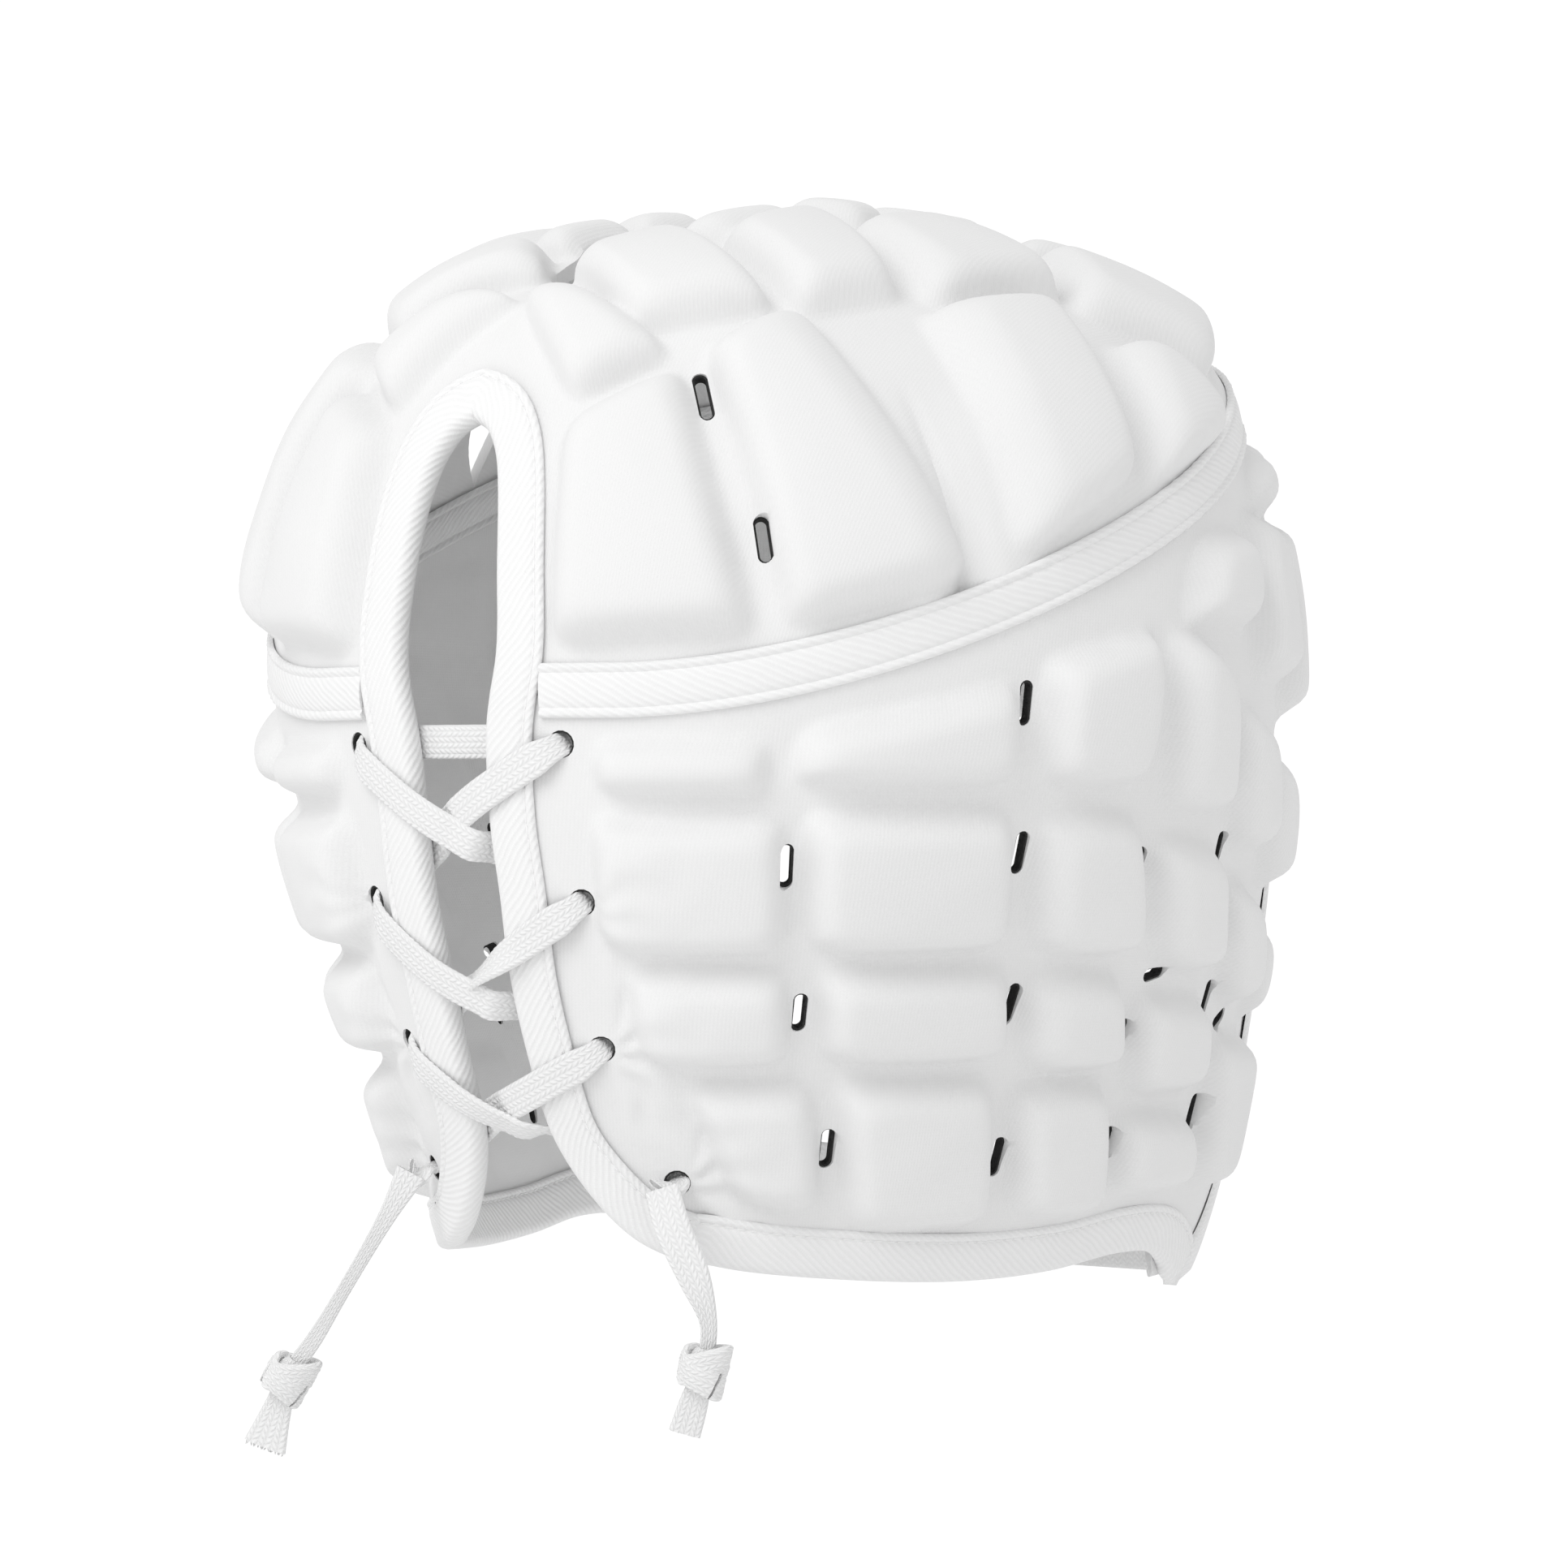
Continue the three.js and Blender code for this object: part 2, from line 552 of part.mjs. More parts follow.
// The turn and place on the back at a given x and depth, on the crown or on the band.
function backPlace(x, depth) {
  let turn = 0;
  let place = depth / HEIGHT;
  const onBand = place >= seamLevel(0);
  for (let i = 0; i < 8; i++) {
    let reach = sectionAt(Math.min(place, 1)).width;
    if (!onBand) {
      const rim = openingPoint(turn);
      const seam = bandPoint(turn, seamLevel(turn));
      place = (2 / Math.PI) * Math.acos(Math.min((-depth - seam.z) / (rim.z - seam.z), 1));
      const half = sectionAt(seamLevel(turn)).width - OPENING_HALF_WIDTH;
      reach = OPENING_HALF_WIDTH + half * Math.sin((place * Math.PI) / 2);
    }
    turn = THREE.MathUtils.radToDeg(Math.asin(Math.max(-1, Math.min(1, x / reach))));
  }
  return { surface: onBand ? bandPoint : crownPoint, turn, place, room: SLOT_ROOM };
}

function backPoint(x, depth, lift) {
  const { surface, turn, place } = backPlace(x, depth);
  return lifted(surface, turn, place, lift);
}

// The turn on the side where the band has a given y, on the left of the cap.
function sideTurn(y, depth) {
  const s = sectionAt(depth / HEIGHT);
  const reach = y > s.ears ? s.back - s.ears : s.front + s.ears;
  return THREE.MathUtils.radToDeg(Math.acos(Math.max(-1, Math.min(1, (y - s.ears) / reach))));
}

// The slot, cut through the back along the web's normals, a ring for each depth.
function slotCut() {
  const edge = slotEdge(30);
  const corner = edge[edge.length - 1];
  const rows = [...edge, [corner[0], HEIGHT]];
  const rings = rows.map(([x, depth]) => {
    const half = Math.max(x, TRIM_OVERLAP);
    const face = (lift) => [-half, 0, half].map((at) => backPoint(at, depth, lift));
    return [...face(CUT_INSIDE), ...face(CUT_OUTSIDE).reverse()];
  });
  return loft(rings, [[0, 1, 4], [0, 4, 5], [1, 2, 3], [1, 3, 4]]);
}

// Everything below the hem and in front of the face opening, cut from side to side.
function hemCut() {
  const hem = sideEdge(HEM_EDGE, 26);
  const face = sideEdge(FACE_EDGE, 26).slice(1);
  const brow = face[face.length - 1];
  const outline = [
    [BACK_REACH * CUT_BEYOND, hem[0][1]],
    ...hem,
    ...face,
    [-FRONT_REACH * CUT_BEYOND, brow[1]],
    [-FRONT_REACH * CUT_BEYOND, HEIGHT * CUT_BEYOND],
    [BACK_REACH * CUT_BEYOND, HEIGHT * CUT_BEYOND],
  ].map(([y, d]) => [y, -d]);
  const side = HALF_WIDTH * CUT_BEYOND;
  return prism(outline, (y, z, along) => vector(along, y, z), -side, side);
}

function prism(outline, place, from, to) {
  const flat = outline.map(([a, b]) => new THREE.Vector2(a, b));
  if (THREE.ShapeUtils.isClockWise(flat)) flat.reverse();
  const caps = THREE.ShapeUtils.triangulateShape(flat, []);
  const ring = (along) => flat.map(({ x, y }) => place(x, y, along));
  return loft([ring(from), ring(to)], caps);
}

// A folded binding along an edge. Each stop has a point on the web's outer face, the
// normal there and the direction out of the cloth.
function foldedBinding(stops) {
  const high = LEG_CLEARANCE + BINDING_THICKNESS;
  const low = -WEB - INNER_CLEARANCE - BINDING_THICKNESS;
  const section = (room) => [
    [-BINDING_WIDTH, LEG_CLEARANCE],
    [-BINDING_WIDTH, high],
    [room + BINDING_THICKNESS, high],
    [room + BINDING_THICKNESS, low],
    [-BINDING_WIDTH, low - LEG_FALL],
    [-BINDING_WIDTH, low + BINDING_THICKNESS - LEG_FALL],
    [room, low + BINDING_THICKNESS],
    [room, LEG_CLEARANCE],
  ];
  const caps = [[0, 1, 2], [0, 2, 7], [7, 2, 3], [7, 3, 6], [6, 3, 4], [6, 4, 5]];
  const rings = stops.map(({ at, normal, out, room }) =>
    section(room).map(([e, n]) => at.clone().addScaledVector(out, e).addScaledVector(normal, n)),
  );
  return loft(rings, caps);
}

// Points along an edge with the direction out of the cloth, which lies on the given side
// of the way along the edge.
function edgeStops(places, hand) {
  const points = places.map(({ surface, turn, place }) => surface(turn, place));
  return places.map(({ surface, turn, place, room }, i) => {
    const before = points[Math.max(i - 1, 0)];
    const after = points[Math.min(i + 1, points.length - 1)];
    const along = after.clone().sub(before).normalize();
    const normal = normalAt(surface, turn, place);
    const out = along.clone().cross(normal).multiplyScalar(hand).normalize();
    return { at: points[i], normal, out, room };
  });
}

const onSide = (y, depth, side) => ({
  surface: bandPoint,
  turn: sideTurn(y, depth) * side,
  place: depth / HEIGHT,
  room: HEM_ROOM,
});

// Drops the rows that lie nearer than a length to the last one.
function trimEnd(rows, length) {
  const end = rows[rows.length - 1];
  return rows.filter(([a, b]) => Math.hypot(a - end[0], b - end[1]) > length);
}

// Takes off what reaches past an edge, square to the web, and what stands up under its binding.
function edgeTrim(stops) {
  const seat = -BINDING_WIDTH - CLEARANCE;
  const section = [
    [0, CUT_INSIDE],
    [0, TRIM_OVERLAP],
    [seat, TRIM_OVERLAP],
    [seat, CUT_OUTSIDE],
    [TRIM_REACH, CUT_OUTSIDE],
    [TRIM_REACH, CUT_INSIDE],
  ];
  const rings = stops.map(({ at, normal, out }) =>
    section.map(([e, n]) => at.clone().addScaledVector(out, e).addScaledVector(normal, n)),
  );
  return loft(rings, [[0, 1, 4], [0, 4, 5], [1, 2, 3], [1, 3, 4]]);
}

// The same stops with both ends drawn in, clear of the cloth that is left at the flaps' points.
function drawnIn(stops) {
  const pull = (stop, next) => {
    const way = next.at.clone().sub(stop.at).normalize();
    return { ...stop, at: stop.at.clone().addScaledVector(way, CLEARANCE) };
  };
  const last = stops.length - 1;
  return [pull(stops[0], stops[1]), ...stops.slice(1, last), pull(stops[last], stops[last - 1])];
}

function slotAndHemStops() {
  const slot = slotEdge(18);
  const hem = trimEnd(sideEdge(HEM_EDGE, 16), FLAP_STOP).slice(1);
  const left = [
    ...slot.slice(1).map(([x, d]) => backPlace(x, d)),
    ...hem.map(([y, d]) => onSide(y, d, 1)),
  ];
  const right = [
    ...slot.slice(1).map(([x, d]) => backPlace(-x, d)),
    ...hem.map(([y, d]) => onSide(y, d, -1)),
  ];
  return edgeStops([...right.toReversed(), backPlace(0, slot[0][1]), ...left], -1);
}

function faceStops() {
  const rows = sideEdge(FACE_EDGE, 16);
  const face = trimEnd(rows.toReversed(), FACE_STOP);
  const brow = face[0];
  const from = sideTurn(brow[0], brow[1]);
  const across = Array.from({ length: 11 }, (_, i) => from + ((360 - 2 * from) * (i + 1)) / 12);
  const places = [
    ...face.toReversed().map(([y, d]) => onSide(y, d, 1)),
    ...across.map((turn) => ({ surface: bandPoint, turn, place: brow[1] / HEIGHT, room: HEM_ROOM })),
    ...face.map(([y, d]) => ({ ...onSide(y, d, -1), turn: 360 - sideTurn(y, d) })),
  ];
  return edgeStops(places, -1);
}

// A tape over the seam, between two lifts from the web's outer face. It stops at the binding.
function seamTape(low, high) {
  const margin = SLOT_HALF_WIDTH + BINDING_WIDTH + CLEARANCE;
  const start = THREE.MathUtils.radToDeg(Math.asin(margin / HALF_WIDTH));
  const whole = Array.from({ length: SHELL_TURNS }, (_, i) => (360 * i) / SHELL_TURNS);
  const between = whole.filter((turn) => turn > start && turn < 360 - start);
  const rings = [start, ...between, 360 - start].map((turn) => {
    const seam = seamLevel(turn);
    const step = crownPoint(turn, 1).distanceTo(crownPoint(turn, 0.96)) / 0.04;
    const half = TAPE_WIDTH / 2 / step;
    const places = [
      [crownPoint, 1 - half],
      [crownPoint, 1 - half / 2],
      [crownPoint, 1],
      [bandPoint, seam + TAPE_WIDTH / 2 / HEIGHT],
    ];
    const face = (lift) => places.map(([surface, place]) => lifted(surface, turn, place, lift));
    return [...face(low), ...face(high).reverse()];
  });
  return loft(rings, [[0, 1, 6], [0, 6, 7], [1, 2, 5], [1, 5, 6], [2, 3, 4], [2, 4, 5]]);
}

// A flat strip through points, with the direction of its face at each.
function strip(points, faces, width, thickness) {
  const rings = points.map((at, i) => {
    const before = points[Math.max(i - 1, 0)];
    const after = points[Math.min(i + 1, points.length - 1)];
    const along = after.clone().sub(before).normalize();
    const face = faces[i].clone().addScaledVector(along, -along.dot(faces[i])).normalize();
    const across = along.clone().cross(face);
    return [[-1, -1], [1, -1], [1, 1], [-1, 1]].map(([a, f]) =>
      at.clone().addScaledVector(across, (a * width) / 2).addScaledVector(face, (f * thickness) / 2),
    );
  });
  return loft(rings, fan(4));
}

const LACE_LIFT = 3 * CLEARANCE + BINDING_THICKNESS + LACE_THICKNESS / 2;
const LACE_DEPTH = WEB + INNER_CLEARANCE + BINDING_THICKNESS + LEG_FALL + CLEARANCE + LACE_THICKNESS / 2;
const SLOT_MIDDLE = (LACE_LIFT - LACE_DEPTH) / 2;
const LACE_TURN = 0.68; // share of the lace's width that it needs to pass the binding's edge

function eyeletPlace(index, side) {
  const { turn, level } = EYELETS[index];
  const at = bandPoint(turn * side, level);
  return { x: at.x, depth: -at.z };
}

// How far half the slot reaches at a depth, binding and clearance taken off.
function slotReach(depth) {
  const drop = (depth - SLOT_TOP) / (HEIGHT - SLOT_TOP);
  return SLOT_HALF_WIDTH * read(SLOT_EDGE, "drop", drop, "across");
}

function crossing({ fromSide, from, to, over }) {
  const a = eyeletPlace(from, fromSide);
  const b = eyeletPlace(to, -fromSide);
  const steps = 10;
  const middle = SLOT_MIDDLE + over * (LACE_THICKNESS / 2 + CLEARANCE);
  const outside = LACE_LIFT;
  const inside = -LACE_DEPTH;
  const points = [];
  const faces = [];
  for (let i = 0; i <= steps; i++) {
    const t = i / steps;
    const x = a.x + (b.x - a.x) * t;
    const depth = a.depth + (b.depth - a.depth) * t;
    const room = slotReach(depth) - SLOT_ROOM - BINDING_THICKNESS - LACE_WIDTH * LACE_TURN;
    const way = (x * fromSide) / room;
    const lift =
      way > 0
        ? middle + (outside - middle) * Math.min(way, 1)
        : middle + (inside - middle) * Math.min(-way, 1);
    points.push(backPoint(x, depth, lift));
    const place = backPlace(x, depth);
    faces.push(normalAt(place.surface, place.turn, place.place));
  }
  return strip(points, faces, LACE_WIDTH, LACE_THICKNESS);
}

// The straight bar inside between the top pair of eyelets.
function topBar() {
  const a = eyeletPlace(0, 1);
  const steps = 8;
  const along = Array.from({ length: steps + 1 }, (_, i) => a.x - (2 * a.x * i) / steps);
  const points = along.map((x) => backPoint(x, a.depth, -LACE_DEPTH));
  const faces = along.map((x) => {
    const place = backPlace(x, a.depth);
    return normalAt(place.surface, place.turn, place.place);
  });
  return strip(points, faces, LACE_WIDTH, LACE_THICKNESS);
}

// The lace where it passes through an eyelet.
function eyeletPass(index, side) {
  const { turn, level } = EYELETS[index];
  const ring = (lift) => {
    const at = lifted(bandPoint, turn * side, level, lift);
    const out = normalAt(bandPoint, turn * side, level);
    const across = vector(0, 0, 1).cross(out).normalize();
    const up = out.clone().cross(across);
    return roundOutline(EYELET_RADIUS - 2 * CLEARANCE, 6).map(([x, y]) =>
      at.clone().addScaledVector(across, x).addScaledVector(up, y),
    );
  };
  return loft([ring(-LACE_DEPTH), ring(LACE_LIFT)], fan(6));
}

function laceSolid() {
  const passes = EYELETS.flatMap((_, index) => [1, -1].map((side) => eyeletPass(index, side)));
  return Manifold.union([...CROSSINGS.map(crossing), topBar(), ...passes]);
}

function tailPath(tail) {
  const route = tail.points.map((p) => vector(...p));
  return new THREE.CatmullRomCurve3(route, false, "centripetal");
}

function tailSolid(tail) {
  const points = tailPath(tail).getPoints(14);
  const faces = points.map(() => vector(...tail.across));
  return strip(points, faces, LACE_WIDTH, LACE_THICKNESS);
}

// Rings of a knot: their place along it and their share of its radius.
const KNOT_RINGS = [
  { along: -0.5, wide: 0.72 },
  { along: -0.28, wide: 0.98 },
  { along: 0.05, wide: 1 },
  { along: 0.34, wide: 0.9 },
  { along: 0.5, wide: 0.68 },
];

// A knot is a round bead with a flat hole for the lace.
function knotSolid(tail) {
  const at = vector(...tail.points[tail.knot]);
  const next = vector(...tail.points[tail.knot + 1]);
  const before = vector(...tail.points[tail.knot - 1]);
  const way = next.sub(before).normalize();
  const face = vector(...tail.across);
  face.addScaledVector(way, -way.dot(face)).normalize();
  const across = way.clone().cross(face);
  const rings = KNOT_RINGS.map(({ along, wide }) =>
    roundOutline(KNOT_RADIUS * wide, 10).map(([x, y]) =>
      at.clone().addScaledVector(across, x).addScaledVector(face, y * KNOT_FLATNESS)
        .addScaledVector(way, along * KNOT_LENGTH),
    ),
  );
  const hole = [-KNOT_LENGTH, 0, KNOT_LENGTH].map((shift) => at.clone().addScaledVector(way, shift));
  const width = LACE_WIDTH + KNOT_BORE_WIDTH_ROOM;
  const bore = strip(hole, hole.map(() => face), width, LACE_THICKNESS + KNOT_BORE_DEPTH_ROOM);
  return loft(rings, fan(10)).subtract(bore);
}

function strapSolid() {
  const lift = -WEB - INNER_CLEARANCE - BINDING_THICKNESS - 3 * CLEARANCE - STRAP_THICKNESS / 2;
  const inFlap = STRAP_TURNS.map((turn) => lifted(bandPoint, turn, STRAP_LEVEL, lift));
  const free = STRAP_ROUTE.map((row) =>
    vector(HALF_WIDTH * row.side, -FRONT_REACH * row.forward, -HEIGHT * row.level),
  );
  const half = [...inFlap, ...free];
  const other = half.slice(0, -1).reverse().map((p) => vector(-p.x, p.y, p.z));
  const curve = new THREE.CatmullRomCurve3([...half, ...other], false, "centripetal");
  const points = curve.getPoints(28);
  const faces = points.map((p) => {
    const turn = sideTurn(p.y, HEIGHT * STRAP_LEVEL) * Math.sign(p.x);
    return normalAt(bandPoint, Math.abs(p.x) < 1 ? 180 : turn, STRAP_LEVEL);
  });
  return strip(points, faces, STRAP_WIDTH, STRAP_THICKNESS);
}

function paddedShell(shell, pads, cuts) {
  const padded = shell.add(Manifold.union(pads)).asOriginal().simplify(SMOOTHING);
  return padded.subtract(Manifold.union(cuts)).asOriginal().simplify(SMOOTHING / 4);
}

function crownSolid() {
  const rim = () => 0;
  const seam = () => 1;
  const shell = wall(crownPoint, SHELL_TURNS, CROWN_STEPS, rim, seam, CROWN_EASE);
  const cuts = [slotCut(), edgeTrim(slotAndHemStops()), dartCut(), ...slitCuts(crownPoint, CROWN_SLITS)];
  return paddedShell(shell, padSolids(crownPoint, CROWN_PADS), cuts);
}

function bandSolid() {
  const top = (turn) => seamLevel(turn) + SEAM_GAP / HEIGHT;
  const shell = wall(bandPoint, SHELL_TURNS, BAND_STEPS, top, () => 1, 1);
  const trims = [edgeTrim(faceStops()), edgeTrim(slotAndHemStops())];
  const cuts = [slotCut(), hemCut(), ...trims, ...slitCuts(bandPoint, BAND_SLITS), ...eyeletCuts()];
  return paddedShell(shell, padSolids(bandPoint, BAND_PADS), cuts);
}

function meshOf(name, solid, material) {
  const { vertProperties, triVerts } = solid.getMesh();
  const geometry = new THREE.BufferGeometry();
  geometry.setAttribute("position", new THREE.BufferAttribute(vertProperties, 3));
  geometry.setIndex(new THREE.BufferAttribute(triVerts, 1));
  geometry.computeVertexNormals();
  const mesh = new THREE.Mesh(geometry, material.clone());
  mesh.name = name;
  return mesh;
}

const shells = new THREE.Group();
shells.add(meshOf("crown_shell", crownSolid(), JERSEY));
shells.add(meshOf("side_band", bandSolid(), JERSEY));

const trims = new THREE.Group();
const tapeTop = CLEARANCE + TAPE_THICKNESS;
trims.add(meshOf("seam_tape_outer", seamTape(CLEARANCE, tapeTop), TWILL));
trims.add(meshOf("seam_tape_inner", seamTape(-WEB - INNER_CLEARANCE - TAPE_THICKNESS, -WEB - INNER_CLEARANCE), TWILL));
trims.add(meshOf("back_binding", foldedBinding(drawnIn(slotAndHemStops())), TWILL));
trims.add(meshOf("face_binding", foldedBinding(drawnIn(faceStops())), TWILL));
trims.add(meshOf("chin_strap", strapSolid(), WEBBING));

const laces = new THREE.Group();
laces.add(meshOf("lace", laceSolid(), LACE_YARN));
for (const [side, tail] of Object.entries(TAILS)) {
  laces.add(meshOf(`lace_tail_${side}`, tailSolid(tail), LACE_YARN));
  laces.add(meshOf(`knot_${side}`, knotSolid(tail), LACE_YARN));
}

const cap = new THREE.Group();
cap.add(shells, trims, laces);
export default cap;
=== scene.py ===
"""A white padded cap for contact sport: raised foam pads, a laced slot at the back, an open face.

Metres in Blender, millimetres in the tables. +Z is up, the face opening looks along -Y, and the
origin is at the top of the head, under the leaf-shaped opening.
"""
import math

import bmesh
import bpy
import numpy as np
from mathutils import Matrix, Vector


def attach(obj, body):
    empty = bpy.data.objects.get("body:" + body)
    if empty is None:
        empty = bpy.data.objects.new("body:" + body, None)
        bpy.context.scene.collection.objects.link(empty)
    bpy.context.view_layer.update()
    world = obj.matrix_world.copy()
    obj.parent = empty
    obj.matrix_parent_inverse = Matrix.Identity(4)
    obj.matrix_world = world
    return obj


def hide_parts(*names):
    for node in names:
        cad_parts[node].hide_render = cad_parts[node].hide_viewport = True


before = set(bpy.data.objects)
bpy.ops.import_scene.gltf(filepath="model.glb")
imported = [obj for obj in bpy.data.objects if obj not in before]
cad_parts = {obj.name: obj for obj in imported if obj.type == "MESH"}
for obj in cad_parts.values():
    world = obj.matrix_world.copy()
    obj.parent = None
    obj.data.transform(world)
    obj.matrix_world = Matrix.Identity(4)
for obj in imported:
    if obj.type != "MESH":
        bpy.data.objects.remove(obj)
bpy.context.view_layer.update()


def table_of(columns, *entries):
    """A table: an entry to a row under the named columns, None where a row has no value."""
    names = columns.split()
    return [{name: v for name, v in zip(names, entry) if v is not None} for entry in entries]


# Sizes of the cap in millimetres
MM = 0.001
HEIGHT = 200.0
HALF_WIDTH = 93.0
BACK_REACH = 105.0
FRONT_REACH = 103.5
WEB = 2.6
TRIM_GAP = 0.12  # between the web and a trim sewn on it
PAD_RISE = 7.0
PAD_CROWN = 1.0
CROWN_SHOULDER = 4.6
BAND_SHOULDER = 3.8
CORNER_SOFTNESS = 1.7
CROWN_SPREAD = 1.4
BAND_SPREAD = 0.45
BAND_LOWNESS = 0.86  # share of the rise that the band's pads have
FOOT_FILLET = 1.4
CUT_THROUGH = (-WEB * 2.5, PAD_RISE + 3)  # how far in and out of the web a cutter reaches

OPENING_HALF_WIDTH = 12.0
OPENING_BACK = 71.0
OPENING_DEPTH_BACK = 11.0
OPENING_RISE_SIDE = 1.0
OPENING_RISE_FRONT = 3.0

HEAD_MIDDLE = np.array([0, 0, -HEIGHT * 0.4])
SEAM_DEPTH_BACK = 84.0
SEAM_DEPTH_FRONT = 20.0
SEAM_TURN_BACK = 20.0
SEAM_TURN_FRONT = 150.0
SEAM_GAP = 0.9
FRONT_FLATNESS = 0.12
TAPE_STITCH = 2.95

BINDING_WIDTH = 7.4
BINDING_THICKNESS = 0.9
BINDING_STITCH = 5.9
SLOT_HALF_WIDTH = 13.0
SLOT_TOP = 34.0
HEM_END = 0.8  # bare cloth left at the point of a flap
FACE_END = 1.6
EDGE_STEP = 1.0
STITCH_LENGTH = 1.7
STITCH_PITCH = 2.2
STITCH_SIDES = 6
TAPE_STEPS = 420

WRINKLE_REACH = 26
SLIT_LENGTH = 8.0
SLIT_WIDTH = 2.8
EYELET_RADIUS = 2.4
# Sleeves of painted shade in the slits and eyelets: their thickness, gap to the hole and span through
# the web
SHADE_SLEEVE_THICKNESS = 0.36
SHADE_SLEEVE_GAP = 0.04
SHADE_SLEEVE_SPAN = (-WEB + 0.3, -0.35)
HOLE_SIDES = 16
LACE_WIDTH = 6.0
LACE_THICKNESS = 1.2
LACE_SIDES = 28
LACE_STEP = 0.4
BRAID_LANE = 1.0
BRAID_PITCH = 1.25
TWILL_PITCH = 1.15
KNOT_RADIUS = 4.4
STRAP_WIDTH = 22.0
STRAP_THICKNESS = 1.5
BAND_RADIUS = 92.0  # of the round that the band's weave is laid out on

SHARP_EDGE = 45  # degrees between faces that stay a crease

# Camera and room
PHOTO_SIDE = 1932
FOCAL_PIXELS = 5440
SENSOR = 36.0
CAMERA_TURN = math.radians(35.2)
CAMERA_PLACE = (-488.9, 695.4, -100.0)
ROOM_LIGHT = 0.77  # of the room on the cap, and as the camera sees it
ROOM_SEEN = 1.05
KEY_PLACE = (-0.05, 1.0, 0.65)
KEY_SIZE = 0.8
KEY_POWER = 5.4
FLOOR_DEPTH = 0.45
FLOOR_RADIUS = 1.2

# The web's level sections: level is a share of HEIGHT below the top of the head, width of
# HALF_WIDTH, back of BACK_REACH, front of FRONT_REACH, ears how far forward the widest place is.
SECTIONS = table_of(
    "level width back front ears",
    (0.0, 0.84, 0.88, 0.76, -0.03), (0.1, 0.892, 0.933, 0.812, -0.03),
    (0.25, 0.968, 0.981, 0.879, -0.03), (0.4, 1.0, 1.0, 0.908, -0.02),
    (0.525, 0.952, 0.976, 0.928, 0.05), (0.605, 0.903, 0.948, 0.957, 0.097),
    (0.68, 0.849, 0.91, 0.986, 0.145), (0.755, 0.796, 0.862, 1.0, 0.193),
    (0.85, 0.742, 0.79, 0.995, 0.232), (1.0, 0.65, 0.72, 0.918, 0.251),
)

# Pads of the crown: top and foot are shares of the way from the opening to the seam, turns are
# degrees from the middle of the back, tilt and lean lower the front corner of the top and of the
# foot. side: 0 both, 1 left, -1 right, 2 one pad across the middle.
CROWN_PADS = table_of(
    "side top foot top_rear top_front foot_rear foot_front tilt lean rear front",
    (0, 0.58, 0.92, 16, 30, 15, 34, -0.08),
    (0, 0.46, 0.925, 36, 50, 39, 57, -0.06, None, None, 9),
    (0, 0.46, 0.925, 68, 86, 64, 79, 0.05, -0.05, 9),
    (-1, 0.64, 0.91, 90, 96, 83, 100, 0.03, None, 7),
    (1, 0.62, 0.91, 88, 93, 83, 93, 0.02),
    (-1, 0.53, 0.8, 96, 122, 106, 126, -0.14, -0.04, 7),
    (1, 0.46, 0.8, 107, 122, 108, 126, -0.07, -0.04),
    (0, 0.22, 0.51, 3, 16, 16.5, 29, None, -0.07),
    (0, 0.05, 0.37, 14, 54, 27, 47),
    (0, 0.13, 0.39, 58, 93, 52, 67, -0.03),
    (0, 0.02, 0.1, 60, 96, 62, 92),
    (0, 0.03, 0.16, 103, 130, 98, 118),
    (0, 0.19, 0.43, 84, 114, 72, 96, 0.02, 0.05, 7),
    (0, 0.36, 0.72, 128, 147, 131, 150),
    (0, 0.1, 0.31, 128, 156, 122, 150),
    (2, 0.37, 0.71, 153, 207, 155, 205),
    (2, 0.09, 0.31, 164, 196, 156, 204),
)

# Pads of the band in the same columns, with top and foot as levels.
BAND_PADS = table_of(
    "side top foot top_rear top_front foot_rear foot_front tilt lean rear",
    (0, 0.465, 0.505, 18.5, 36, 18.5, 36),
    (0, 0.455, 0.495, 40, 62, 39, 62, -0.04),
    (0, 0.395, 0.495, 66, 80, 66, 78, -0.03),
    (0, 0.36, 0.52, 83, 92, 82, 93, 0.03, None, 6),
    (0, 0.42, 0.555, 94.5, 104, 95.5, 107, 0.03, None, 6),
    (0, 0.465, 0.59, 107, 116, 109, 119, 0.02, None, 6),
    (0, 0.283, 0.355, 90, 101, 86, 100, -0.01),
    (0, 0.253, 0.4, 104, 114, 102, 114, 0.01),
    (0, 0.255, 0.43, 117, 127, 116, 126),
    (0, 0.207, 0.24, 111, 126, 108, 126, -0.028),
    (0, 0.53, 0.64, 18, 37.5, 18.5, 38),
    (0, 0.525, 0.638, 40.5, 61.5, 41, 62),
    (0, 0.525, 0.645, 65, 77.5, 66, 80, 0.005, None, 6),
    (0, 0.545, 0.665, 80.5, 92, 83.5, 95, 0.015, None, 6),
    (0, 0.585, 0.7, 95, 105, 98, 108, 0.02),
    (0, 0.63, 0.72, 108, 115, 110, 115, 0.01),
    (0, 0.662, 0.737, 21, 38, 22, 38.5),
    (0, 0.66, 0.737, 42, 62.5, 42.5, 63),
    (0, 0.667, 0.752, 65.5, 77.5, 66, 79, 0.005, None, 6),
    (0, 0.69, 0.78, 81, 93, 81, 94, 0.01),
    (0, 0.735, 0.88, 96.5, 112, 99, 108, 0.01),
    (0, 0.762, 0.862, 27, 40.5, 31, 41, None, 0.012),
    (0, 0.762, 0.89, 44, 61.5, 45, 62),
    (0, 0.772, 0.888, 65, 77, 66, 78),
    (0, 0.802, 0.875, 80, 93, 80, 95, 0.01),
    (0, 0.17, 0.24, 129, 145, 129, 145),
    (0, 0.275, 0.375, 131, 147, 133, 148),
    (0, 0.15, 0.24, 148, 164, 148, 164),
    (0, 0.275, 0.375, 150, 165, 151, 166),
    (2, 0.15, 0.24, 167, 193, 167, 193),
    (2, 0.275, 0.375, 168.5, 191.5, 169, 191),
)

